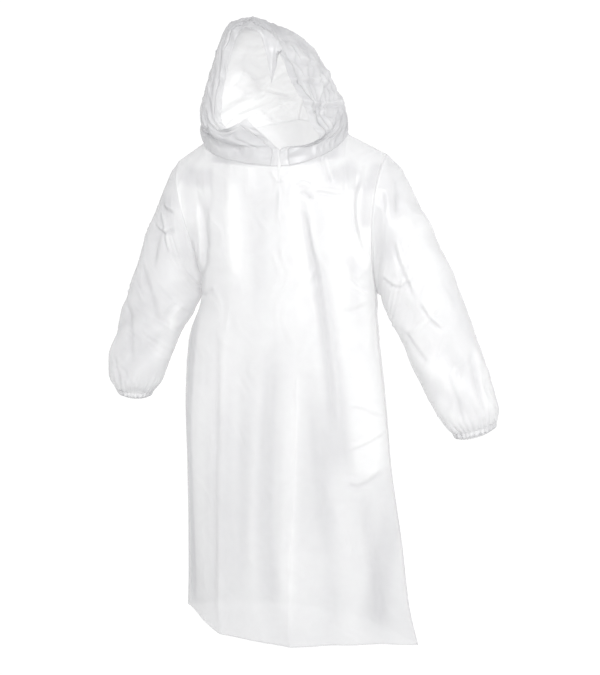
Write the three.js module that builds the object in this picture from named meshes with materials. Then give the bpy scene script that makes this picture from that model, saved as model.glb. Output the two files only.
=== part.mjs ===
// Rain poncho of thin film, in the form it has when worn: a flared body, long sleeves drawn in by
// elastic cuffs, and a loose hood of two halves, open at the face above a short neck slit.
//
// Millimetres, +Z up. The front faces -Y and the wearer's left is +X. The origin is at the base of the
// neck, level with the shoulders, where the wearer holds the garment up. "Drop" is a height below it.

import * as THREE from 'three';

// Cloth and seams
const wallThickness = 1.5;
const seamInset = 0.2; // each piece stops this far short of its seam lines
const hemDrop = 1200;
const seamClearance = 0.1; // share of a piece, beside its seams, in which folds fade away

// How finely each piece is divided
const shoulderSteps = 5;
const frontNeckSteps = 6;
const backNeckSteps = 7;
const armholeSteps = 10;
const skirtSteps = 15;
const sleeveSteps = 15;
const cuffSteps = 3;
const cuffSides = 48;
const wallTurnRings = 2; // rings of a sleeve in which its wall's way in turns from the body's

// Body: shoulder tips, underarm points and neck slit
const shoulderTip = { right: [-250, 0, -57], left: [246, 0, -38] };
const pitDrop = { right: 318, left: 345 };
const armholeDepth = 84; // how far the armhole bulges forwards, and as far backwards
const slitFoot = [35, -128, -92];
const bodyRoundness = 2.2; // power of the rounded sections, where 2 is an ellipse
const sideBunching = 0.7; // how much closer together the columns are near the side seams
const backMiddleShare = 0.6; // the back's middle line lies this share as far to the left as the front's

// Yoke, from the top edge to the underarm line: how strongly it sets out forwards or backwards from
// the neckline, the shoulder seam and the armhole, and how steeply it leaves a shoulder and arrives
const yoke = { neckOut: 40, shoulderOut: 300, armholeOut: 330, leave: 0.45, arrive: 1.2, neckDepth: 110 };

// The wall's inner side lies towards a core inside the body, which is lower at the shoulders, and
// towards the middle of the head inside the hood
const core = { narrowing: 0.7, lowered: 120, below: 250 };
const headCore = { x: -10, y: 10, lowest: 20, highest: 140 };
const neckBlend = 0.15; // levels of the hood in which one changes to the other

// Body sections from the underarm down: the side seams, the front's and back's deepest points, the
// line down the middle, and how far the rounded section has turned into flat panels with creases
const bodySections = [
  { drop: 300, right: -191, rightY: 0, left: 227, leftY: 0, front: -138, back: 124, middle: 40, flat: 0 },
  { drop: 385, right: -195, rightY: 0, left: 227, leftY: 0, front: -137, back: 126, middle: 46, flat: 0 },
  { drop: 467, right: -226, rightY: 0, left: 234, leftY: 0, front: -134, back: 126, middle: 52, flat: 0.05 },
  { drop: 600, right: -240, rightY: 0, left: 251, leftY: 0, front: -129, back: 126, middle: 59, flat: 0.25 },
  { drop: 760, right: -247, rightY: 10, left: 268, leftY: 0, front: -123, back: 128, middle: 58, flat: 0.5 },
  { drop: 946, right: -256, rightY: 27, left: 297, leftY: 0, front: -114, back: 132, middle: 55, flat: 0.75 },
  { drop: 1106, right: -267, rightY: 48, left: 318, leftY: 0, front: -105, back: 138, middle: 51, flat: 0.9 },
  { drop: 1200, right: -276, rightY: 62, left: 341, leftY: 0, front: -100, back: 142, middle: 50, flat: 1 },
];

// Creases of the skirt: where they lie across a panel (-1 right seam, 0 middle, 1 left seam), and how
// deep the hem is there, as a share of the way from the side seams to the panel's deepest point
const frontCreases = [
  { across: -1, share: 0 },
  { across: -0.57, share: 0.86 },
  { across: 0, share: 1 },
  { across: 1, share: 0 },
];
const backCreases = [
  { across: -1, share: 0 },
  { across: -0.62, share: 0.78 },
  { across: -0.1, share: 1 },
  { across: 0.5, share: 0.84 },
  { across: 1, share: 0 },
];

// Soft troughs that run down the panels: a path of places, and each trough's width and depth. They
// start over one length, and those that end above the hem fade over another
const troughStart = 80;
const troughFade = 200;
const frontTrough = {
  width: 24,
  depth: 10,
  path: [
    { drop: 120, x: 90 },
    { drop: 233, x: 99 },
    { drop: 324, x: 127 },
    { drop: 463, x: 150 },
    { drop: 636, x: 165 },
    { drop: 860, x: 172 },
  ],
};
const backTroughs = [
  { width: 30, depth: 12, path: [{ drop: 160, x: -70 }, { drop: 620, x: -92 }, { drop: 1200, x: -118 }] },
  { width: 26, depth: 9, path: [{ drop: 420, x: 66 }, { drop: 800, x: 84 }, { drop: 1200, x: 96 }] },
  { width: 32, depth: 13, path: [{ drop: 260, x: 150 }, { drop: 700, x: 176 }, { drop: 1200, x: 214 }] },
];

// Hood halves. A level runs from the face opening's rim, round the widest point at the side, to the seam
// at the back. The lowest level is the neckline and the highest is the crown seam
const hoodLevels = [
  0, 0.1, 0.16, 0.23, 0.29, 0.34, 0.4, 0.46, 0.56, 0.66, 0.76, 0.83, 0.855, 0.88, 0.905, 0.93, 1,
];
const hoodSections = {
  right: [
    { level: 0, rim: [31, -124, -62], side: [-184, 0, -14], back: [12, 108, 40] },
    { level: 0.1, rim: [31, -122, -24], side: [-187, -8, 4], back: [12, 118, 58] },
    { level: 0.23, rim: [-30, -126, -16], side: [-188, -16, 28], back: [14, 128, 76] },
    { level: 0.34, rim: [-82, -114, 12], side: [-184, -24, 52], back: [18, 137, 94] },
    { level: 0.46, rim: [-105, -102, 36], side: [-177, -30, 80], back: [24, 145, 112] },
    { level: 0.56, rim: [-101, -108, 77], side: [-167, -34, 108], back: [30, 150, 128] },
    { level: 0.66, rim: [-92, -114, 117], side: [-154, -38, 140], back: [36, 153, 143] },
    { level: 0.76, rim: [-80, -119, 155], side: [-141, -42, 172], back: [42, 154, 157] },
    { level: 0.84, rim: [-70, -122, 187], side: [-127, -48, 207], back: [47, 154, 168] },
    { level: 0.92, rim: [-57, -124, 222], side: [-98, -56, 246], back: [50, 153, 177] },
    { level: 1, rim: [-40, -124, 231], side: [-44, -62, 259], back: [52, 152, 184] },
  ],
  left: [
    { level: 0, rim: [38, -124, -62], side: [158, 0, 5], back: [12, 108, 40] },
    { level: 0.1, rim: [38, -122, -24], side: [157, 6, 16], back: [12, 118, 58] },
    { level: 0.23, rim: [86, -108, -18], side: [150, 20, 44], back: [14, 128, 76] },
    { level: 0.34, rim: [111, -80, -1], side: [139, 34, 74], back: [18, 137, 94] },
    { level: 0.46, rim: [97, -95, 26], side: [122, 46, 100], back: [24, 145, 112] },
    { level: 0.56, rim: [84, -104, 68], side: [106, 52, 130], back: [30, 150, 128] },
    { level: 0.66, rim: [57, -114, 120], side: [88, 56, 160], back: [36, 153, 143] },
    { level: 0.76, rim: [42, -119, 160], side: [67, 54, 190], back: [42, 154, 157] },
    { level: 0.84, rim: [27, -122, 187], side: [44, 44, 213], back: [47, 154, 168] },
    { level: 0.92, rim: [0, -124, 217], side: [4, 2, 240], back: [50, 153, 177] },
    { level: 1, rim: [-40, -124, 231], side: [-44, -62, 259], back: [52, 152, 184] },
  ],
};
const hoodRoundness = 0.78; // 0 is a straight level, 1 a quarter ellipse each side of the widest point
const chinDip = 1.6; // power that keeps the front of a level low until it nears the side
const hoodHemWidth = 18;
const rimFlapReach = 0.14; // how far round the level a turned-in flap of the rim reaches

// Soft dents of the hood's back: where each lies, its widths the two ways, its slant and its depth
const hoodDents = {
  right: [
    { level: 0.5, round: 0.86, levels: 0.07, rounds: 0.16, slant: 0.4, depth: 10 },
    { level: 0.78, round: 0.74, levels: 0.06, rounds: 0.14, slant: -0.3, depth: 8 },
    { level: 0.3, round: 0.56, levels: 0.08, rounds: 0.1, slant: 0.3, depth: 7 },
  ],
  left: [
    { level: 0.44, round: 0.88, levels: 0.08, rounds: 0.18, slant: -0.4, depth: 11 },
    { level: 0.62, round: 0.42, levels: 0.05, rounds: 0.1, slant: 0.5, depth: 6 },
    { level: 0.72, round: 0.8, levels: 0.06, rounds: 0.12, slant: 0.3, depth: 8 },
  ],
};

// Flaps of the hood's rim: one hangs into the face opening, one stands up at the chin
const rimFlaps = {
  right: { level: 0.23, halfLevels: 0.11, move: [-5, -8, 56] },
  left: { level: 0.88, halfLevels: 0.05, move: [-2, 12, -90] },
};

// Sleeves: the outer and inner lines as they run from the armhole to the cuff, and the half depth. The
// armhole's own form is gone after a share of the way
const armholeShare = 0.4;
const sleeveSections = {
  right: [
    { at: 0, outer: [-250, -57], inner: [-191, -318], y: 0, depth: 84 },
    { at: 0.07, outer: [-274, -90], inner: [-192, -326], y: 0, depth: 84 },
    { at: 0.15, outer: [-298, -146], inner: [-194, -334], y: 0, depth: 84 },
    { at: 0.3, outer: [-331, -222], inner: [-199, -358], y: 0, depth: 82 },
    { at: 0.45, outer: [-361, -312], inner: [-211, -396], y: -5, depth: 78 },
    { at: 0.6, outer: [-389, -392], inner: [-229, -432], y: -9, depth: 74 },
    { at: 0.75, outer: [-415, -470], inner: [-258, -476], y: -14, depth: 68 },
    { at: 0.88, outer: [-432, -538], inner: [-282, -542], y: -18, depth: 62 },
    { at: 0.95, outer: [-434, -575], inner: [-303, -588], y: -20, depth: 54 },
    { at: 1, outer: [-418, -606], inner: [-325, -614], y: -20, depth: 42 },
  ],
  left: [
    { at: 0, outer: [246, -38], inner: [227, -345], y: 0, depth: 86 },
    { at: 0.07, outer: [278, -64], inner: [229, -350], y: 0, depth: 86 },
    { at: 0.15, outer: [306, -118], inner: [232, -356], y: 0, depth: 86 },
    { at: 0.3, outer: [342, -188], inner: [243, -376], y: 0, depth: 84 },
    { at: 0.45, outer: [380, -260], inner: [262, -408], y: -3, depth: 80 },
    { at: 0.6, outer: [424, -356], inner: [291, -462], y: -6, depth: 76 },
    { at: 0.75, outer: [463, -452], inner: [329, -540], y: -12, depth: 70 },
    { at: 0.88, outer: [496, -536], inner: [367, -606], y: -18, depth: 62 },
    { at: 0.95, outer: [513, -590], inner: [389, -640], y: -20, depth: 54 },
    { at: 1, outer: [509, -626], inner: [411, -658], y: -20, depth: 44 },
  ],
};
// Folds of the sleeves: where each lies along the sleeve and round it, in turns from the outer line by
// the front, its widths the two ways, how far it slants, and its depth
const sleeveFolds = {
  right: [
    { at: 0.3, turn: 0.17, along: 0.09, round: 0.05, slant: 0.35, depth: 9 },
    { at: 0.42, turn: 0.13, along: 0.06, round: 0.07, slant: -0.6, depth: 7 },
    { at: 0.2, turn: 0.4, along: 0.12, round: 0.05, slant: 0.3, depth: 9 },
    { at: 0.34, turn: 0.78, along: 0.12, round: 0.06, slant: 0.4, depth: 9 },
  ],
  left: [
    { at: 0.17, turn: 0.42, along: 0.05, round: 0.08, slant: 0.2, depth: 10 },
    { at: 0.5, turn: 0.3, along: 0.14, round: 0.05, slant: -0.5, depth: 8 },
    { at: 0.76, turn: 0.2, along: 0.12, round: 0.04, slant: 0.3, depth: 7 },
    { at: 0.36, turn: 0.74, along: 0.14, round: 0.06, slant: 0.4, depth: 9 },
  ],
};
const cuffEnds = {
  right: { outer: [-397, -625], inner: [-346, -631], y: -20, depth: 27 },
  left: { outer: [497, -650], inner: [431, -672], y: -20, depth: 31 },
};
const cuffGathers = 16;
const cuffGatherHeight = 1.6;

const film = { color: 0xeef0f5, roughness: 0.32, metalness: 0, transparent: true, opacity: 0.62 };
const doubledFilm = { ...film, color: 0xe4e6ec, opacity: 0.8 };

const mix = (a, b, t) => a + (b - a) * t;
const ease = (t) => {
  const s = Math.min(Math.max(t, 0), 1);
  return s * s * (3 - 2 * s);
};
const bell = (distance, width) => Math.exp(-((distance / width) ** 2));
const clearOf = (...seams) => seams.reduce((share, away) => share * ease(away / seamClearance), 1);
const point = (xyz) => new THREE.Vector3(...xyz);

/** The row of a table at a place between its keys, every number on a smooth curve through the rows. */
function rowAt(table, key, place) {
  const last = table.length - 1;
  const x = Math.min(Math.max(place, table[0][key]), table[last][key]);
  let i = 0;
  while (i < last - 1 && x > table[i + 1][key]) i += 1;
  const rows = [table[Math.max(i - 1, 0)], table[i], table[i + 1], table[Math.min(i + 2, last)]];
  const keys = rows.map((row) => row[key]);
  const span = keys[2] - keys[1];
  const t = (x - keys[1]) / span;
  const blend = (values) => {
    const slopeA = (values[2] - values[0]) / (keys[2] - keys[0]);
    const slopeB = (values[3] - values[1]) / (keys[3] - keys[1]);
    return hermite(values[1], slopeA * span, values[2], slopeB * span, t);
  };
  const result = {};
  for (const column of Object.keys(table[0])) {
    const values = rows.map((row) => row[column]);
    result[column] = Array.isArray(values[0])
      ? values[0].map((_, axis) => blend(values.map((value) => value[axis])))
      : blend(values);
  }
  return result;
}

/** A cubic from a to b that leaves with slope slopeA and arrives with slope slopeB. */
function hermite(a, slopeA, b, slopeB, t) {
  const late = t * t * (3 - 2 * t);
  return mix(a, b, late) + slopeA * t * (1 - t) ** 2 - slopeB * t * t * (1 - t);
}

/** The way in from the body's surface, towards a core that is flatter than the body and lower at the top. */
function inwardFromBody(p) {
  const lowered = core.lowered * ease((p.z + core.below) / core.below);
  return new THREE.Vector3(core.narrowing * p.x, 0, p.z - lowered).sub(p).normalize();
}

/** The way in from the hood's surface, towards the middle of the head; the neckline shares the body's. */
function inwardFromHood(p, level) {
  const z = Math.min(Math.max(p.z, headCore.lowest), headCore.highest);
  const toHead = new THREE.Vector3(headCore.x, headCore.y, z).sub(p).normalize();
  return inwardFromBody(p).lerp(toHead, ease(level / neckBlend)).normalize();
}

/** Where a hood half would be without its flap and dents: level 0 is the neckline and 1 the crown. */
function plainHoodPoint(side, level, round) {
  const section = rowAt(hoodSections[side], 'level', level);
  const rim = point(section.rim);
  const widest = point(section.side);
  const back = point(section.back);
  const inFront = round < 0.5;
  const [from, to] = inFront ? [rim, widest] : [widest, back];
  const t = inFront ? round * 2 : round * 2 - 1;
  const angle = (t * Math.PI) / 2;
  const [alongX, alongY] = inFront
    ? [Math.sin(angle), 1 - Math.cos(angle)]
    : [1 - Math.cos(angle), Math.sin(angle)];
  const z = mix(from.z, to.z, inFront ? t ** chinDip : t);
  const straight = from.clone().lerp(to, t).setZ(z);
  const arc = new THREE.Vector3(mix(from.x, to.x, alongX), mix(from.y, to.y, alongY), z);
  return straight.lerp(arc, hoodRoundness);
}

/** Point of a hood half: round 0 is the rim, 0.5 the widest point and 1 the back seam. */
function hoodPoint(side, level, round) {
  const flap = rimFlaps[side];
  const atFlap = Math.max(0, 1 - Math.abs(level - flap.level) / flap.halfLevels);
  const nearRim = Math.max(0, 1 - round / rimFlapReach);
  const p = plainHoodPoint(side, level, round).addScaledVector(point(flap.move), atFlap * nearRim);
  const depth = dentDepth(hoodDents[side], level, round) * clearOf(level, 1 - level, 1 - round);
  return p.addScaledVector(inwardFromHood(p, level), depth);
}

/** How deep the dents of a hood half are together at a place. */
function dentDepth(dents, level, round) {
  return dents.reduce((sum, dent) => {
    const off = round - dent.round;
    const up = level - dent.level - dent.slant * off;
    return sum + dent.depth * bell(up, dent.levels) * bell(off, dent.rounds);
  }, 0);
}

/** Where, round a level, the hood's turned hem ends. */
function hemRound(side, level) {
  const probe = 0.05;
  const reach = plainHoodPoint(side, level, probe).distanceTo(plainHoodPoint(side, level, 0));
  return (probe * hoodHemWidth) / reach;
}

/** Places round a level of the hood, from the hem's seam by the widest point to the back seam. */
function hoodRounds(side, level) {
  const start = hemRound(side, level);
  const inFront = Array.from({ length: frontNeckSteps }, (_, i) => mix(start, 0.5, i / frontNeckSteps));
  const behind = Array.from({ length: backNeckSteps + 1 }, (_, i) => mix(0.5, 1, i / backNeckSteps));
  return [...inFront, ...behind];
}

/** The neckline from the slit to the widest point, or from there to the nape. */
function neckline(side, panel) {
  const rounds = [0, ...hoodRounds(side, 0)];
  const kept = rounds.filter((round) => (panel === 'front' ? round <= 0.5 : round >= 0.5));
  return kept.map((round) => hoodPoint(side, 0, round));
}

/** A straight shoulder seam from the tip to the neck, without its last point. */
function shoulder(side) {
  const tip = point(shoulderTip[side]);
  const neck = hoodPoint(side, 0, 0.5);
  return Array.from({ length: shoulderSteps }, (_, i) => tip.clone().lerp(neck, i / shoulderSteps));
}

/** The top edge of a body panel, from the right shoulder tip over the neckline to the left tip. */
function topEdge(panel) {
  const right = [...shoulder('right')];
  const left = [...shoulder('left')];
  if (panel === 'front') {
    right.push(...neckline('right', panel).reverse());
    left.push(...neckline('left', panel).reverse());
    return [...right, point(slitFoot), ...left.reverse()];
  }
  right.push(...neckline('right', panel));
  left.push(...neckline('left', panel).slice(0, -1));
  return [...right, ...left.reverse()];
}

/** Linear share read from a panel's crease table. */
function creaseShare(creases, across) {
  const after = creases.findIndex((crease) => crease.across >= across);
  const b = creases[Math.max(after, 1)];
  const a = creases[Math.max(after, 1) - 1];
  return mix(a.share, b.share, (across - a.across) / (b.across - a.across));
}

/** How deep a trough is at a place of its panel. */
function troughDepth(trough, x, drop) {
  const first = trough.path[0].drop;
  const last = trough.path[trough.path.length - 1].drop;
  const fade = last < hemDrop ? ease((last - drop) / troughFade) : 1;
  const started = ease((drop - first) / troughStart);
  return trough.depth * bell(x - rowAt(trough.path, 'drop', drop).x, trough.width) * started * fade;
}

/** Point of a body panel below the underarms: a rounded section that turns into flat creased panels. */
function bodyPoint(panel, across, drop) {
  const s = rowAt(bodySections, 'drop', drop);
  const isFront = panel === 'front';
  const bunched = Math.sin((across * Math.PI) / 2);
  const roundedAcross = mix(across, bunched, sideBunching * (1 - s.flat));
  const middle = isFront ? s.middle : s.middle * backMiddleShare;
  const x = roundedAcross < 0
    ? mix(middle, s.right, -roundedAcross)
    : mix(middle, s.left, roundedAcross);
  const seamY = mix(s.rightY, s.leftY, (roundedAcross + 1) / 2);
  const rounded = (1 - Math.abs(roundedAcross) ** bodyRoundness) ** (1 / bodyRoundness);
  const creased = creaseShare(isFront ? frontCreases : backCreases, across);
  const deepest = isFront ? s.front : s.back;
  return new THREE.Vector3(x, mix(seamY, deepest, mix(rounded, creased, s.flat)), -drop);
}

/** Drop of the underarm line across a panel. */
const pitLine = (across) => mix(pitDrop.right, pitDrop.left, (across + 1) / 2);

/** Point of a body panel between its top edge (0) and the underarm line (1). */
function yokePoint(panel, across, top, t) {
  const way = panel === 'front' ? -1 : 1;
  const foot = bodyPoint(panel, across, pitLine(across));
  const onShoulder = 1 - Math.min(Math.abs(top.y) / yoke.neckDepth, 1);
  const atArmhole = Math.max(0, 1 - Math.abs(foot.y) / armholeDepth);
  const outStart = way * (yoke.neckOut + yoke.shoulderOut * onShoulder);
  const outEnd = -way * yoke.armholeOut * atArmhole;
  const height = foot.z - top.z;
  const leave = height * mix(1, yoke.leave, onShoulder);
  const arrive = height * mix(1, yoke.arrive, onShoulder);
  return new THREE.Vector3(
    hermite(top.x, foot.x - top.x, foot.x, 0, t),
    hermite(top.y, outStart, foot.y, outEnd, t),
    hermite(top.z, leave, foot.z, arrive, t),
  );
}

/** Rows of a body panel, from its top edge to the hem, each from the right seam to the left seam. */
function panelRows(panel) {
  const top = topEdge(panel);
  const middleColumn = panel === 'front'
    ? shoulderSteps + frontNeckSteps + 2
    : shoulderSteps + backNeckSteps;
  const lastColumn = top.length - 1;
  const across = top.map((_, i) => (i <= middleColumn
    ? i / middleColumn - 1
    : (i - middleColumn) / (lastColumn - middleColumn)));
  const troughs = panel === 'front' ? [frontTrough] : backTroughs;
  const inward = panel === 'front' ? 1 : -1;
  const rows = [];
  for (let r = 0; r <= armholeSteps + skirtSteps; r += 1) {
    rows.push(top.map((edge, i) => {
      const t = r / armholeSteps;
      const down = (r - armholeSteps) / skirtSteps;
      const p = t <= 1
        ? yokePoint(panel, across[i], edge, t)
        : bodyPoint(panel, across[i], mix(pitLine(across[i]), hemDrop, down));
      const depth = troughs.reduce((sum, trough) => sum + troughDepth(trough, p.x, -p.z), 0);
      p.y += inward * depth * clearOf(1 - Math.abs(across[i]), t);
      return p;
    }));
  }
  return rows;
}

/** The armhole as a ring from the shoulder tip, down the front, through the underarm and up the back. */
function armholeRing(side) {
  const ring = [];
  for (const panel of ['front', 'back']) {
    const across = side === 'right' ? -1 : 1;
    const edge = Array.from({ length: armholeSteps }, (_, i) => {
      const t = panel === 'front' ? i / armholeSteps : 1 - i / armholeSteps;
      return yokePoint(panel, across, point(shoulderTip[side]), t);
    });
    ring.push(...edge);
  }
  return ring;
}

/** Point of a round section between an outer and an inner line; turn 0 is outermost, then the front. */
function sectionPoint(section, turn) {
  const out = Math.cos(turn);
  return new THREE.Vector3(
    mix(section.inner[0], section.outer[0], (1 + out) / 2),
    section.y - section.depth * Math.sin(turn),
    mix(section.inner[1], section.outer[1], (1 + out) / 2),
  );
}

/** How deep the folds of a sleeve are together at a place along it and a turn round it. */
function foldDepth(folds, at, turn) {
  return folds.reduce((sum, fold) => {
    const off = turn - fold.turn;
    const along = at - fold.at - fold.slant * off;
    return sum + fold.depth * bell(along, fold.along) * bell(off, fold.round);
  }, 0);
}

/** Rings of a sleeve: the armhole's own ring, which eases into the round sections of the arm. */
function sleeveRows(side) {
  const armhole = armholeRing(side);
  const turnOf = (j) => (2 * Math.PI * j) / armhole.length;
  const first = rowAt(sleeveSections[side], 'at', 0);
  const rows = [];
  for (let r = 0; r <= sleeveSteps; r += 1) {
    const at = r / sleeveSteps;
    const section = rowAt(sleeveSections[side], 'at', at);
    const fade = (1 - ease(at / armholeShare)) * (1 - at);
    const centre = centreOf(section);
    rows.push(armhole.map((seam, j) => {
      const off = seam.clone().sub(sectionPoint(first, turnOf(j)));
      const p = sectionPoint(section, turnOf(j)).addScaledVector(off, fade);
      const towardsArm = centre.clone().sub(p).normalize();
      const depth = foldDepth(sleeveFolds[side], at, j / armhole.length) * clearOf(at, 1 - at);
      return p.addScaledVector(towardsArm, depth);
    }));
  }
  return rows;
}

/** Rings of a cuff: the elastic draws the sleeve's end in, in small gathers. */
function cuffRows(side) {
  const sections = [rowAt(sleeveSections[side], 'at', 1), cuffEnds[side]];
  const rows = [];
  for (let r = 0; r <= cuffSteps; r += 1) {
    const t = r / cuffSteps;
    const row = [];
    for (let j = 0; j < cuffSides; j += 1) {
      const turn = (2 * Math.PI * j) / cuffSides;
      const a = sectionPoint(sections[0], turn);
      const b = sectionPoint(sections[1], turn);
      const middle = centreOf(sections[1]);
      const p = a.lerp(b, t);
      const outwards = b.clone().sub(middle).normalize();
      row.push(p.addScaledVector(outwards, cuffGatherHeight * Math.cos(cuffGathers * turn) * t));
    }
    rows.push(row);
  }
  return rows;
}

const centreOf = (section) => sectionPoint({ ...section, depth: 0 }, Math.PI / 2);

/** Moves the edges of a grid a little way in, so that each piece is just clear of its neighbours. */
function inset(rows, edges) {
  const last = rows.length - 1;
  const shift = (p, towards) => p.clone().addScaledVector(towards.clone().sub(p).normalize(), seamInset);
  const result = rows.map((row) => row.map((p) => p.clone()));
  if (edges.top) result[0] = result[0].map((p, j) => shift(p, rows[1][j]));
  if (edges.bottom) result[last] = result[last].map((p, j) => shift(p, rows[last - 1][j]));
  for (const [i, row] of result.entries()) {
    const end = row.length - 1;
    if (edges.start) row[0] = shift(row[0], rows[i][1]);
    if (edges.end) row[end] = shift(row[end], rows[i][end - 1]);
  }
  return result;
}

/** Closes a grid of points into a wall: its outer side, its inner side and the strips at its edges. */
function wallGeometry(rows, inwardAt, isRing) {
  const columns = rows[0].length;
  const sheet = rows.length * columns;
  const outer = rows.flat();
  const inner = rows.flatMap((row, i) => row.map((p, j) => {
    return p.clone().addScaledVector(inwardAt(p, i, j), wallThickness);
  }));
  const indices = [];
  const quad = (a, b, c, d) => indices.push(a, b, c, a, c, d);
  const at = (i, j) => i * columns + (j % columns);
  const lastRow = rows.length - 1;
  const lastColumn = isRing ? columns : columns - 1;
  for (let i = 0; i < lastRow; i += 1) {
    for (let j = 0; j < lastColumn; j += 1) {
      quad(at(i, j), at(i + 1, j), at(i + 1, j + 1), at(i, j + 1));
      quad(sheet + at(i, j), sheet + at(i, j + 1), sheet + at(i + 1, j + 1), sheet + at(i + 1, j));
    }
  }
  const edge = (a, b) => quad(a, b, sheet + b, sheet + a);
  for (let j = 0; j < lastColumn; j += 1) {
    edge(at(0, j), at(0, j + 1));
    edge(at(lastRow, j + 1), at(lastRow, j));
  }
  for (let i = 0; i < lastRow && !isRing; i += 1) {
    edge(at(i + 1, 0), at(i, 0));
    edge(at(i, lastColumn), at(i + 1, lastColumn));
  }
  const points = [...outer, ...inner];
  if (signedVolume(points, indices) < 0) indices.reverse();
  const geometry = new THREE.BufferGeometry().setFromPoints(points);
  geometry.setIndex(indices);
  geometry.computeVertexNormals();
  return geometry;
}

/** Volume of a closed mesh, negative when its faces point inwards. */
function signedVolume(points, indices) {
  let sum = 0;
  const cross = new THREE.Vector3();
  for (let k = 0; k < indices.length; k += 3) {
    const [a, b, c] = [points[indices[k]], points[indices[k + 1]], points[indices[k + 2]]];
    sum += a.dot(cross.crossVectors(b, c)) / 6;
  }
  return sum;
}

const poncho = new THREE.Group();

function addPiece(name, rows, inwardAt, look, isRing = false) {
  const mesh = new THREE.Mesh(wallGeometry(rows, inwardAt, isRing), new THREE.MeshStandardMaterial(look));
  mesh.name = name;
  poncho.add(mesh);
}

const allSeams = { top: true, start: true, end: true };
for (const panel of ['front', 'back']) {
  addPiece(panel, inset(panelRows(panel), allSeams), inwardFromBody, film);
}

for (const side of ['right', 'left']) {
  const rings = sleeveRows(side);
  const towardsArm = (p, i) => {
    const centre = centreOf(rowAt(sleeveSections[side], 'at', i / sleeveSteps));
    const toCentre = centre.sub(p).normalize();
    return inwardFromBody(p).lerp(toCentre, ease(i / wallTurnRings)).normalize();
  };
  addPiece(`sleeve_${side}`, inset(rings, { top: true, bottom: true }), towardsArm, film, true);

  const wrist = centreOf(rowAt(sleeveSections[side], 'at', 1));
  const cuffEnd = centreOf(cuffEnds[side]);
  const towardsCuff = (p, i) => wrist.clone().lerp(cuffEnd, i / cuffSteps).sub(p).normalize();
  addPiece(`cuff_${side}`, inset(cuffRows(side), { top: true }), towardsCuff, doubledFilm, true);

  const levelPoints = (level, rounds) => rounds.map((round) => hoodPoint(side, level, round));
  const hoodRows = hoodLevels.map((level) => levelPoints(level, hoodRounds(side, level)));
  const hemRows = hoodLevels.map((level) => levelPoints(level, [0, hemRound(side, level)]));
  const intoHood = (p, i) => inwardFromHood(p, hoodLevels[i]);
  addPiece(`hood_${side}`, inset(hoodRows, { ...allSeams, bottom: true }), intoHood, film);
  addPiece(`hood_hem_${side}`, inset(hemRows, { top: true, bottom: true, end: true }), intoHood, doubledFilm);
}

export default poncho;
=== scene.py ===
import math

import bpy
import numpy as np
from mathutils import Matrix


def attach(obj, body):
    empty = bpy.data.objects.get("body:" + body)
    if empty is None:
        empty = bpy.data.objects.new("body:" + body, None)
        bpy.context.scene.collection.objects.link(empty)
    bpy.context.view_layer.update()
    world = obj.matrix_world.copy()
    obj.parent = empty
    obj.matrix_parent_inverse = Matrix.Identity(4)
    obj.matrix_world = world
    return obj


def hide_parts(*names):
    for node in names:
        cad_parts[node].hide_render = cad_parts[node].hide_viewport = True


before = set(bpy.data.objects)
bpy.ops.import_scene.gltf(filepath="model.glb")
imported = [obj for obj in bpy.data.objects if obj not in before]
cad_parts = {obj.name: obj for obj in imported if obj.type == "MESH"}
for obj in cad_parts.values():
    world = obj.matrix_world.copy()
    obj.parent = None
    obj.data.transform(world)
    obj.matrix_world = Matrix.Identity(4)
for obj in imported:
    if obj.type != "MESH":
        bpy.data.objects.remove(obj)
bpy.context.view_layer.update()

# Rain poncho of milky film in its worn form. Metres, +Z up, the front faces -Y and the wearer's
# left is +X. The origin is at the base of the neck. A "drop" is a height below it.

# Camera: 2.5 m away, a little to the wearer's left, and tilted down

shot = {
    "place": (0.7314, -2.3910, 0.020),
    "tiltDown": 11.0,
    "turn": 16.0,
    "focalPixels": 1080.0,
    "longSidePixels": 675.0,
    "sensor": 36.0,
}


# The lens is the focal length in pixels over the picture's longer side, times the sensor's width
def addCamera():
    data = bpy.data.cameras.new("camera")
    data.sensor_width = shot["sensor"]
    data.lens = shot["focalPixels"] / shot["longSidePixels"] * shot["sensor"]
    camera = bpy.data.objects.new("camera", data)
    camera.location = shot["place"]
    camera.rotation_euler = (math.radians(90 - shot["tiltDown"]), 0, math.radians(shot["turn"]))
    bpy.context.scene.collection.objects.link(camera)
    bpy.context.scene.camera = camera


addCamera()
print("camera is in place")


# Small helpers for curves, blends and vectors, all on whole arrays

# From a to b in a straight line: a and a share of the difference
def mix(a, b, share):
    return a + (b - a) * share


# 0 before 0 and 1 after 1, and between them three squares of the share less two cubes
def ease(share):
    s = np.clip(share, 0, 1)
    return s * s * (3 - 2 * s)


# Bell curve: e to the power of minus the square of the distance in widths
def bell(distance, width):
    return np.exp(-((distance / width) ** 2))


seamCalm = 0.1  # share of a side over which a fold rises from a seam


# What is left of a fold near seams: one easing for each seam, multiplied, so that edges stay put
def clearOf(*seams):
    share = 1.0
    for away in seams:
        share = share * ease(away / seamCalm)
    return share


# Cubic from a to b that leaves with one slope and arrives with another: the eased blend, and each
# slope times a cubic that is 0 at both ends
def hermite(a, slopeA, b, slopeB, t):
    late = t * t * (3 - 2 * t)
    return mix(a, b, late) + slopeA * t * (1 - t) ** 2 - slopeB * t * t * (1 - t)


# A table written in plain rows, its columns named once
def rowsOf(names, *rows):
    return [dict(zip(names.split(), row)) for row in rows]


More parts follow.
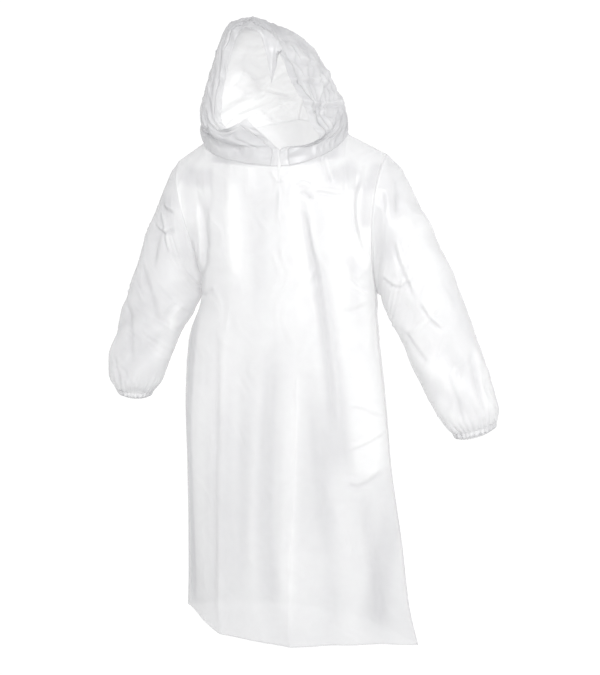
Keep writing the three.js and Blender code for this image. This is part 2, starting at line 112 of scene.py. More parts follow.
# Every column of a table at the given places: a cubic between each two rows, whose slope at a row
# is that of the line through the rows before and after
def rowAt(table, key, place):
    keys = np.array([row[key] for row in table], float)
    x = np.clip(place, keys[0], keys[-1])
    i = np.clip(np.searchsorted(keys, x, side="left") - 1, 0, len(keys) - 2)
    before, after = np.maximum(i - 1, 0), np.minimum(i + 2, len(keys) - 1)
    span = keys[i + 1] - keys[i]
    t = (x - keys[i]) / span
    result = {}
    for column in table[0]:
        values = np.array([row[column] for row in table], float)
        wide = (lambda a: a[..., None]) if values.ndim == 2 else (lambda a: a)
        slopeA = (values[i + 1] - values[before]) / wide(keys[i + 1] - keys[before])
        slopeB = (values[after] - values[i]) / wide(keys[after] - keys[i])
        result[column] = hermite(
            values[i], slopeA * wide(span), values[i + 1], slopeB * wide(span), wide(t))
    return result


# Vectors divided by their own length
def unit(vectors):
    return vectors / np.maximum(np.linalg.norm(vectors, axis=-1, keepdims=True), 1e-9)


# Normals of a grid: the cross product of its two directions, turned to face away from the core
def normalsOf(grid, core, ring=False):
    if ring:
        along = np.roll(grid, -1, axis=1) - np.roll(grid, 1, axis=1)
    else:
        along = np.gradient(grid, axis=1)
    normals = unit(np.cross(np.gradient(grid, axis=0), along))
    facing = np.sum(normals * (grid - core), axis=-1).mean()
    return normals if facing > 0 else -normals


waveCount = 14  # cosines in a field of waves


# Irregular waves: a sum of cosines in directions drawn from a seed, 0.7 to 1.6 sizes apart and
# taller than wide by a factor
def softWaves(u, v, size, seed, tall=1.0):
    draw = np.random.default_rng(seed)
    total = 0
    for _ in range(waveCount):
        angle, phase = draw.uniform(0, 2 * np.pi, 2)
        pitch = 2 * np.pi / (size * draw.uniform(0.7, 1.6))
        total = total + np.cos(pitch * (u * np.cos(angle) + v / tall * np.sin(angle)) + phase)
    return total / np.sqrt(waveCount / 2)


# The same waves, bent by larger ones and folded at zero: 0.8 less their absolute value, which
# leaves sharp creases between soft fields
def creasedWaves(u, v, size, seed, tall=1.0):
    bent = 0.25 * size * softWaves(u, v, size * 1.7, seed + 50)
    return 0.8 - np.abs(softWaves(u + bent, v, size, seed, tall))


# Waves of the film itself. A kind has a height, a size, how much taller than wide it is, and how
# far it leans with the way along a piece: sharp waves times a strength, and soft ones
def filmWaves(waves, part, u, v, strength=1.0, along=0.0):
    sharpSeed, softSeed = waves["seeds"][part]
    height, size, tall, lean = waves["sharp"]
    sharp = height * creasedWaves(u + lean * along, v, size, sharpSeed, tall) * strength
    height, size, tall, lean = waves["soft"]
    return sharp + height * softWaves(u + lean * along, v, size, softSeed, tall)


# Signed distance from points (u, v) to a path of places, and how far along the path its nearest
# place is, from 0 to 1. The path is made round first, by cubics through its places, and the
# distance is the smallest of those to its short straight pieces
def distanceTo(u, v, path):
    places = np.array(path, float)
    table = [{"i": i, "p": tuple(place)} for i, place in enumerate(places)]
    fine = rowAt(table, "i", np.linspace(0, len(places) - 1, 8 * len(places)))["p"]
    steps = np.linalg.norm(np.diff(fine, axis=0), axis=1)
    reached = np.concatenate([[0], np.cumsum(steps)])
    nearest = np.full(np.shape(u), 1e9)
    signed = np.zeros(np.shape(u))
    along = np.zeros(np.shape(u))
    for (a, b, start, step) in zip(fine[:-1], fine[1:], reached, steps):
        way = (b - a) / step
        t = np.clip((u - a[0]) * way[0] + (v - a[1]) * way[1], 0, step)
        du, dv = u - a[0] - t * way[0], v - a[1] - t * way[1]
        d = np.hypot(du, dv)
        closer = d < nearest
        nearest = np.where(closer, d, nearest)
        signed = np.where(closer, np.sign(du * way[1] - dv * way[0]) * d, signed)
        along = np.where(closer, (start + t) / reached[-1], along)
    return signed, along


# 0 at both ends of a path and 1 between, eased over a share of its length
def endFade(along, share=0.25):
    return ease(along / share) * ease((1 - along) / share)


# Height of creases along paths. A crease is (form, width, height, path), and a fifth value is the
# share of its length in which an end fades. A soft one is a bell of the distance, a sharp one e to
# the power of minus the distance in widths, and a pleat, which rises on one side of its path and
# sinks on the other, that distance times its bell
def creaseHeight(u, v, creases):
    total = np.zeros(np.shape(u))
    for form, width, height, path, *fade in creases:
        off, along = distanceTo(u, v, path)
        d = off / width
        profile = {
            "soft": bell(off, width),
            "sharp": np.exp(-np.abs(d)),
            "pleat": 1.6 * d * np.exp(-(d ** 2)),  # 0.7 of its height at the highest place
        }[form]
        total = total + height * profile * endFade(along, *fade)
    return total


strokeReach = 1.6  # widths from its path at which a stroke is gone
strokeSoft = 1.2  # widths over which it fades


# Broad soft strokes of painted highlight and painted shade along paths, full near the path and
# eased away from it. A stroke is (width, amount of painted light, above 0 lighter and below 0
# darker, path), and a fourth value is the share of its length in which an end fades. A width of two
# numbers changes evenly from the first end to the last
def strokes(u, v, table):
    total = 0
    for width, paintedShadeAndTone, path, *fade in table:
        off, along = distanceTo(u, v, path)
        widths = np.abs(off) / np.interp(along, [0, 1], np.broadcast_to(width, 2))
        total = total + paintedShadeAndTone * ease((strokeReach - widths) / strokeSoft) * endFade(along, *fade)
    return total


# Distance from each place of a grid to one of its edges: the sum of the steps along its rows or
# columns
def reachFrom(grid, axis, fromEnd=False):
    steps = np.linalg.norm(np.diff(grid, axis=axis), axis=-1)
    zero = np.zeros_like(np.take(steps, [0], axis=axis))
    reached = np.concatenate([zero, np.cumsum(steps, axis=axis)], axis=axis)
    return np.take(reached, [-1], axis=axis) - reached if fromEnd else reached


# How far film is sealed at a distance from a seam, in metres: fully for half the seal's width, and
# eased to nothing at one and a half
def sealedBy(distance, width=0.004):
    return ease((width * 1.5 - distance) / width)


def quickSteps(count):
    return count


filmGauge = 0.0004  # drawn thicker than the real 0.1 mm, so that the film has two clear sides


# A grid of places becomes a thin sheet whose faces look away from the core, with a UV map in metres
# of cloth, which adds up the mean steps of rows and columns. One attribute says how far the film is
# sealed or doubled at a place. Another holds painted shade and highlight, with some real tone, from
# -1, grey, for painted shade and where layers cling, to 1, white, for a painted highlight where film
# would catch the light
def addSheet(name, grid, core, sealed, paintedShadeAndTone, ring=False):
    rows, columns = grid.shape[:2]
    index = np.arange(rows * columns).reshape(rows, columns)
    across = np.linalg.norm(np.diff(grid, axis=1), axis=-1).mean(axis=0)
    down = np.linalg.norm(np.diff(grid, axis=0), axis=-1).mean(axis=1)
    if ring:
        index = np.concatenate([index, index[:, :1]], axis=1)
        across = np.concatenate([across, across[-1:]])
    u = np.concatenate([[0], np.cumsum(across)])
    v = -np.concatenate([[0], np.cumsum(down)])
    uv = np.stack(np.meshgrid(u, v), axis=-1)

    def corners(values):
        return np.stack([values[:-1, :-1], values[1:, :-1], values[1:, 1:], values[:-1, 1:]], axis=2)

    quads, quadUv = corners(index), corners(uv)
    points = grid.reshape(-1, 3)
    a, b, c = (points[quads[..., k]] for k in (0, 1, 3))
    away = a - np.broadcast_to(core, grid.shape).reshape(-1, 3)[quads[..., 0]]
    if np.sum(np.cross(b - a, c - a) * away) < 0:
        quads, quadUv = quads[..., ::-1], quadUv[..., ::-1, :]
    mesh = bpy.data.meshes.new(name)
    mesh.from_pydata(points.tolist(), [], quads.reshape(-1, 4).tolist())
    mesh.polygons.foreach_set("use_smooth", np.ones(len(mesh.polygons), bool))
    mesh.uv_layers.new(name="cloth").data.foreach_set("uv", quadUv.reshape(-1))
    for label, values in (("sealed", sealed), ("paintedShadeAndTone", np.clip(paintedShadeAndTone, -1, 1))):
        attribute = mesh.attributes.new(label, "FLOAT", "POINT")
        attribute.data.foreach_set("value", np.broadcast_to(values, (rows, columns)).reshape(-1))
    mesh.update()
    piece = bpy.data.objects.new(name, mesh)
    bpy.context.scene.collection.objects.link(piece)
    shell = piece.modifiers.new("gauge", "SOLIDIFY")
    shell.thickness = filmGauge
    shell.offset = -1
    return piece


# A finished piece's material and slot, the body that it rides on, and the solid that it replaces
def dress(piece, material, node):
    piece.data.materials.append(material)
    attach(piece, "root")
    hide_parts(node)


# Materials

# sRGB hex turned linear: below the knee a value is divided by 12.92, above it a power of 2.4
def hexColour(code):
    srgb = np.array([int(code[i:i + 2], 16) / 255 for i in (0, 2, 4)])
    linear = np.where(srgb <= 0.04045, srgb / 12.92, ((srgb + 0.055) / 1.055) ** 2.4)
    return (*linear.tolist(), 1.0)


# One node, with its settings and what its inputs are linked to or set to. n0, n1 and so on name an
# input by its place
def addNode(tree, kind, settings=None, **inputs):
    node = tree.nodes.new(kind)
    for name, value in (settings or {}).items():
        setattr(node, name, value)
    for name, value in inputs.items():
        socket = node.inputs[int(name[1:])] if name[0] == "n" and name[1:].isdigit() else next(
            s for s in node.inputs if s.identifier == name or s.name.replace(" ", "") == name)
        if isinstance(value, bpy.types.NodeSocket):
            tree.links.new(value, socket)
        else:
            socket.default_value = value
    return node


# An empty material with nodes, and its tree
def newMaterial(name):
    material = bpy.data.materials.new(name)
    material.use_nodes = True
    material.node_tree.nodes.clear()
    return material, material.node_tree


# Low-density polyethylene, blown to a thin milky film and folded in a pouch: light passes through
# it and is scattered, and fine crinkles break up a faint gloss. Its colour runs from grey, for
# painted shade and where layers lie on each other, to white, for painted highlights. Two sealed or
# doubled layers let less through
filmLook = {
    # ends of the painted tone: grey for painted shade, white for painted highlights
    "grey": "CCCCCE",
    "white": "F8F8F8",
    "clear": "FDFDFD",
    "opacity": 0.41,
    "sealedOpacity": 0.62,
    "unevenness": 0.04,
    "cloudsPerMetre": 14.0,
    "throughShare": 0.45,  # of the scattered light, what goes on through the film
    "roughness": 0.34,
    "ior": 1.51,
    "crinkle": 0.018,  # real crinkles are 1 to 20 mm apart, drawn as coarse as they need to show
    "fineCrinkle": 0.008,
    "fineShare": 0.25,
    "crinkleDepth": 0.001,
    "crinkleStrength": 0.3,
}


# Film lets part of the light straight through and scatters the rest, by its opacity. The bump is
# coarse noise and a share of fine noise, and the opacity wanders a little with cloudy noise
def filmMaterial(name, look):
    material, tree = newMaterial(name)
    cloth = addNode(tree, "ShaderNodeUVMap", {"uv_map": "cloth"}).outputs["UV"]
    sealed = addNode(tree, "ShaderNodeAttribute", {"attribute_name": "sealed"}).outputs["Fac"]
    large = addNode(tree, "ShaderNodeTexNoise", Vector=cloth, Scale=1 / look["crinkle"],
                    Detail=3.0, Roughness=0.55, Distortion=0.6)
    small = addNode(tree, "ShaderNodeTexNoise", Vector=cloth, Scale=1 / look["fineCrinkle"], Detail=2.0)
    both = addNode(tree, "ShaderNodeMath", {"operation": "MULTIPLY_ADD"},
                   n0=small.outputs["Fac"], n1=look["fineShare"], n2=large.outputs["Fac"])
    bump = addNode(tree, "ShaderNodeBump", Strength=look["crinkleStrength"],
                   Distance=look["crinkleDepth"], Height=both.outputs[0])
    cloudy = addNode(tree, "ShaderNodeTexNoise", Vector=cloth, Scale=look["cloudsPerMetre"], Detail=4.0)
    opacity = addNode(tree, "ShaderNodeMapRange", {"clamp": False}, Value=sealed,
                      ToMin=look["opacity"], ToMax=look["sealedOpacity"])
    uneven = addNode(tree, "ShaderNodeMapRange", Value=cloudy.outputs["Fac"], FromMin=0.3, FromMax=0.7,
                     ToMin=1 - look["unevenness"], ToMax=1 + look["unevenness"])
    share = addNode(tree, "ShaderNodeMath", {"operation": "MULTIPLY", "use_clamp": True},
                    n0=opacity.outputs["Result"], n1=uneven.outputs["Result"])
    # The colour runs from grey to white with the painted shade and tone: painted shade, painted highlights
    # and, in part, layers that cling
    paintedShadeAndTone = addNode(tree, "ShaderNodeAttribute", {"attribute_name": "paintedShadeAndTone"}).outputs["Fac"]
    whiteness = addNode(tree, "ShaderNodeMapRange", Value=paintedShadeAndTone, FromMin=-1.0, FromMax=1.0)
    colour = addNode(tree, "ShaderNodeMix", {"data_type": "RGBA"}, Factor_Float=whiteness.outputs["Result"],
                     A_Color=hexColour(look["grey"]), B_Color=hexColour(look["white"])).outputs[2]
    front = addNode(tree, "ShaderNodeBsdfPrincipled", BaseColor=colour, Roughness=look["roughness"],
                    IOR=look["ior"], Normal=bump.outputs["Normal"])
    through = addNode(tree, "ShaderNodeBsdfTranslucent", Color=colour, Normal=bump.outputs["Normal"])
    scatter = addNode(tree, "ShaderNodeMixShader", n0=look["throughShare"],
                      n1=front.outputs[0], n2=through.outputs[0])
    clear = addNode(tree, "ShaderNodeBsdfTransparent", Color=hexColour(look["clear"]))
    film = addNode(tree, "ShaderNodeMixShader", n0=share.outputs[0],
                   n1=clear.outputs[0], n2=scatter.outputs[0])
    addNode(tree, "ShaderNodeOutputMaterial", Surface=film.outputs[0])
    return material


blownFilm = filmMaterial("blown polyethylene film", filmLook)
sealedFilm = filmMaterial("doubled polyethylene film, heat sealed", {
    **filmLook, "opacity": 0.48, "sealedOpacity": 0.7, "roughness": 0.3})
print("film is ready")


# Hood: two halves that meet at the crown and the back. A level runs from the face opening's rim,
# round the widest point at the side, to the seam at the back. Level 0 is the neckline, 1 the crown

hood = {
    "sections": {
        "right": rowsOf(
            "level rim side back",
            (0, (0.031, -0.124, -0.062), (-0.184, 0, -0.014), (0.012, 0.108, 0.04)),
            (0.1, (0.031, -0.122, -0.024), (-0.187, -0.008, 0.004), (0.012, 0.118, 0.058)),
            (0.23, (-0.03, -0.126, -0.016), (-0.188, -0.016, 0.028), (0.014, 0.128, 0.076)),
            (0.34, (-0.082, -0.114, 0.012), (-0.184, -0.024, 0.052), (0.018, 0.137, 0.094)),
            (0.46, (-0.105, -0.102, 0.036), (-0.177, -0.03, 0.08), (0.024, 0.145, 0.112)),
            (0.56, (-0.101, -0.108, 0.077), (-0.167, -0.034, 0.108), (0.03, 0.15, 0.128)),
            (0.66, (-0.092, -0.114, 0.117), (-0.154, -0.038, 0.14), (0.036, 0.153, 0.143)),
            (0.76, (-0.08, -0.119, 0.155), (-0.141, -0.042, 0.172), (0.042, 0.154, 0.157)),
            (0.84, (-0.07, -0.122, 0.187), (-0.127, -0.048, 0.207), (0.047, 0.154, 0.168)),
            (0.92, (-0.057, -0.124, 0.222), (-0.098, -0.056, 0.246), (0.05, 0.153, 0.177)),
            (1, (-0.04, -0.124, 0.231), (-0.044, -0.062, 0.259), (0.052, 0.152, 0.184))),
        "left": rowsOf(
            "level rim side back",
            (0, (0.038, -0.124, -0.062), (0.158, 0, 0.005), (0.012, 0.108, 0.04)),
            (0.1, (0.038, -0.122, -0.024), (0.157, 0.006, 0.016), (0.012, 0.118, 0.058)),
            (0.23, (0.086, -0.108, -0.018), (0.15, 0.02, 0.044), (0.014, 0.128, 0.076)),
            (0.34, (0.111, -0.08, -0.001), (0.139, 0.034, 0.074), (0.018, 0.137, 0.094)),
            (0.46, (0.097, -0.095, 0.026), (0.122, 0.046, 0.1), (0.024, 0.145, 0.112)),
            (0.56, (0.084, -0.104, 0.068), (0.106, 0.052, 0.13), (0.03, 0.15, 0.128)),
            (0.66, (0.057, -0.114, 0.12), (0.088, 0.056, 0.16), (0.036, 0.153, 0.143)),
            (0.76, (0.042, -0.119, 0.16), (0.067, 0.054, 0.19), (0.042, 0.154, 0.157)),
            (0.84, (0.027, -0.122, 0.187), (0.044, 0.044, 0.213), (0.047, 0.154, 0.168)),
            (0.92, (0, -0.124, 0.217), (0.004, 0.002, 0.24), (0.05, 0.153, 0.177)),
            (1, (-0.04, -0.124, 0.231), (-0.044, -0.062, 0.259), (0.052, 0.152, 0.184))),
    },
    "roundness": 0.78,  # 0 is a straight level, 1 a quarter ellipse each side of the widest point
    "chinDip": 1.6,  # keeps the front of a level low until it nears the side
    "hemWidth": 0.018,
    "flapReach": 0.14,
    "flaps": {
        "right": {"level": 0.23, "halfLevels": 0.11, "move": (-0.005, -0.008, 0.056)},
        "left": {"level": 0.88, "halfLevels": 0.05, "move": (-0.002, 0.012, -0.09)},
    },
    "dents": {
        "right": rowsOf(
            "level round levels rounds slant depth",
            (0.5, 0.86, 0.07, 0.16, 0.4, 0.01),
            (0.78, 0.74, 0.06, 0.14, -0.3, 0.008),
            (0.3, 0.56, 0.08, 0.1, 0.3, 0.007)),
        "left": rowsOf(
            "level round levels rounds slant depth",
            (0.44, 0.88, 0.08, 0.18, -0.4, 0.011),
            (0.62, 0.42, 0.05, 0.1, 0.5, 0.006),
            (0.72, 0.8, 0.06, 0.12, 0.3, 0.008)),
    },
    "frontUntil": {"right": 0.03, "left": 0.09},  # depth at which a half counts as its back
    "frontSoft": 0.04,
    # Shadow line along the rim, which the other half's edge casts
    "rimShade": {
        "right": {"level": 0.93, "levels": 0.06, "dark": 0.3},
        "left": {"level": 0.7, "levels": 0.15, "dark": 0.5},
    },
    # Painted shade and highlight, from -1 to 1, and the painted highlight that a metre of rise adds, on
    # its back and in front: the back lighter, the front greyer, partly for the layers it lies over
    "whiteness": {"behind": 0.55, "front": {"right": -0.45, "left": -0.65},
                  "perHeightBehind": -60, "perHeightFront": 55},
    # Painted shade at the neckline and at the crown's front; the neckline's share below also makes it
    # denser
    "collarShade": {"below": 0.03, "over": 0.024, "paintedShadeAndTone": -0.35},
    "crownShade": {"above": 0.88, "over": 0.08, "paintedShadeAndTone": -0.4},
    "sealedShare": {"seams": 0.5, "front": 0.3, "collar": 0.15, "hem": 0.6},
    "hemSealWidth": 0.003,
    # the hem band's painted shade is kept no darker than this
    "hemMilkFrom": -0.5,
    # Waves: height, size, how much taller than wide, and lean, then the seeds of both
    "waves": {"sharp": (0.0012, 0.048, 1, 0), "soft": (0.0016, 0.085, 1, 0),
              "seeds": {"right": (7, 17), "left": (8, 18)}},
    "frontStrength": 1.75,
    "calmNear": {"neckline": 2, "crown": 3, "seam": 2},  # larger is calm over a shorter way
    "neckBlend": 0.15,
    "head": {"x": -0.01, "y": 0.01, "lowest": 0.02, "highest": 0.14},
    "levelSteps": 150,
    "frontSteps": 60,
    "backSteps": 60,
    "hemSteps": 6,
    "cut": {"right": {"flat": (0.42, 0.34), "area": 0.11, "rim": 0.46},
            "left": {"flat": (0.36, 0.34), "area": 0.082, "rim": 0.7}},
    # Creases, in metres round a half from its rim and up from its neckline
    "creases": {
        "right": [
            ("pleat", 0.006, -0.004, [(0.02, 0.2), (0.07, 0.17), (0.13, 0.17)]),
            ("soft", 0.005, -0.004, [(0.05, 0.02), (0.06, 0.07), (0.05, 0.12)]),
            ("soft", 0.007, -0.005, [(0.1, 0.01), (0.11, 0.05), (0.13, 0.09)]),
            ("soft", 0.008, -0.005, [(0.16, 0.02), (0.17, 0.06), (0.16, 0.12)]),
            ("pleat", 0.008, -0.004, [(0.15, 0.22), (0.22, 0.2), (0.3, 0.21)]),
            ("soft", 0.01, -0.006, [(0.28, 0.05), (0.3, 0.12), (0.35, 0.17)]),
        ],
        "left": [
            ("pleat", 0.006, -0.004, [(0.03, 0.08), (0.08, 0.1), (0.13, 0.09)]),
            ("pleat", 0.006, -0.005, [(0.04, 0.15), (0.09, 0.17), (0.15, 0.15)]),
            ("sharp", 0.005, -0.003, [(0.05, 0.2), (0.09, 0.23), (0.15, 0.23)]),
            ("soft", 0.006, -0.004, [(0.1, 0.01), (0.12, 0.05), (0.11, 0.1)]),
            ("soft", 0.009, -0.006, [(0.17, 0.02), (0.19, 0.07), (0.24, 0.11)]),
            ("pleat", 0.009, -0.005, [(0.2, 0.18), (0.26, 0.2), (0.32, 0.18)]),
        ],
    },
}


# Creases by x and z: on the back, seen through the face opening, and in front of it
hoodLines = {
    "inside": [
        ("soft", 0.006, -0.005, [(-0.116, 0.155), (-0.096, 0.136), (-0.076, 0.103)]),
        ("pleat", 0.006, -0.007, [(-0.09, 0.114), (-0.034, 0.098), (0.02, 0.084)]),
        ("pleat", 0.006, -0.006, [(-0.082, 0.066), (-0.054, 0.045), (-0.029, 0.026)]),
        ("soft", 0.005, -0.005, [(0.018, 0.078), (0.014, 0.054), (0.011, 0.034)]),
        ("soft", 0.005, 0.004, [(-0.045, 0.092), (-0.02, 0.064), (0.004, 0.046)]),
        ("soft", 0.006, -0.004, [(-0.13, 0.12), (-0.11, 0.098), (-0.088, 0.1)]),
    ],
    "outside": [
        ("pleat", 0.005, -0.005, [(0.052, 0.113), (0.086, 0.123), (0.12, 0.102)]),
        ("pleat", 0.005, -0.006, [(0.06, 0.081), (0.095, 0.069), (0.146, 0.073)]),
        ("soft", 0.005, -0.005, [(0.074, 0.041), (0.104, 0.054), (0.139, 0.037)]),
        ("pleat", 0.006, -0.005, [(0.026, 0.198), (0.06, 0.165), (0.087, 0.16)]),
        ("soft", 0.005, 0.004, [(0.102, 0.166), (0.093, 0.123), (0.107, 0.08)]),
        ("soft", 0.007, -0.005, [(-0.117, 0.167), (-0.135, 0.103), (-0.148, 0.037)]),
        ("soft", 0.005, 0.004, [(-0.083, 0.208), (-0.097, 0.165), (-0.107, 0.101)]),
        ("soft", 0.006, -0.005, [(-0.16, 0.06), (-0.15, 0.02), (-0.162, -0.01)]),
    ],
}


# Core of the head, which folds are pressed towards: an upright line, to the nearest height on it
def headCore(p):
    head = hood["head"]
    z = np.clip(p[..., 2], head["lowest"], head["highest"])
    return np.stack([0 * z + head["x"], 0 * z + head["y"], z], axis=-1)


# Core of a half: the body's at the neckline, eased into the head's
def hoodCore(p, level):
    return mix(bodyCore(p), headCore(p), ease(level / hood["neckBlend"])[..., None])


# A level of a half before its flap and dents: a blend of straight lines and quarter ellipses from
# rim to side to back, low in front by a power of the way round
def plainHood(side, level, around):
    section = rowAt(hood["sections"][side], "level", level)
    inFront = around < 0.5
    t = np.where(inFront, around * 2, around * 2 - 1)
    a = np.where(inFront[..., None], section["rim"], section["side"])
    b = np.where(inFront[..., None], section["side"], section["back"])
    angle = t * np.pi / 2
    z = mix(a[..., 2], b[..., 2], np.where(inFront, t ** hood["chinDip"], t))
    x = mix(a[..., 0], b[..., 0], np.where(inFront, np.sin(angle), 1 - np.cos(angle)))
    y = mix(a[..., 1], b[..., 1], np.where(inFront, 1 - np.cos(angle), np.sin(angle)))
    straight = mix(a, b, t[..., None])
    straight[..., 2] = z
    return mix(straight, np.stack([x, y, z], axis=-1), hood["roundness"])


# The half itself: the rim's flap is a tent that fades away from the rim, and the dents are bells
# towards the middle of the head
def hoodPoint(side, level, around):
    level, around = np.broadcast_arrays(np.asarray(level, float), np.asarray(around, float))
    flap = hood["flaps"][side]
    atFlap = np.maximum(0, 1 - np.abs(level - flap["level"]) / flap["halfLevels"])
    nearRim = np.maximum(0, 1 - around / hood["flapReach"])
    p = plainHood(side, level, around) + (atFlap * nearRim)[..., None] * np.array(flap["move"])
    depth = 0
    for dent in hood["dents"][side]:
        off = around - dent["round"]
        up = level - dent["level"] - dent["slant"] * off
        depth = depth + dent["depth"] * bell(up, dent["levels"]) * bell(off, dent["rounds"])
    depth = depth * clearOf(level, 1 - level, 1 - around)
    towards = unit(mix(unit(bodyCore(p) - p), unit(headCore(p) - p),
                       ease(level / hood["neckBlend"])[..., None]))
    return p + towards * depth[..., None]


# How far round each level the turned hem reaches: its width over the length of a level's first
# twentieth, times that twentieth
def hemRound(side, level):
    probe = 0.05
    near, rim = plainHood(side, level, 0 * level + probe), plainHood(side, level, 0 * level)
    reach = np.linalg.norm(near - rim, axis=-1)
    return probe * hood["hemWidth"] / reach


# Body: front and back panels

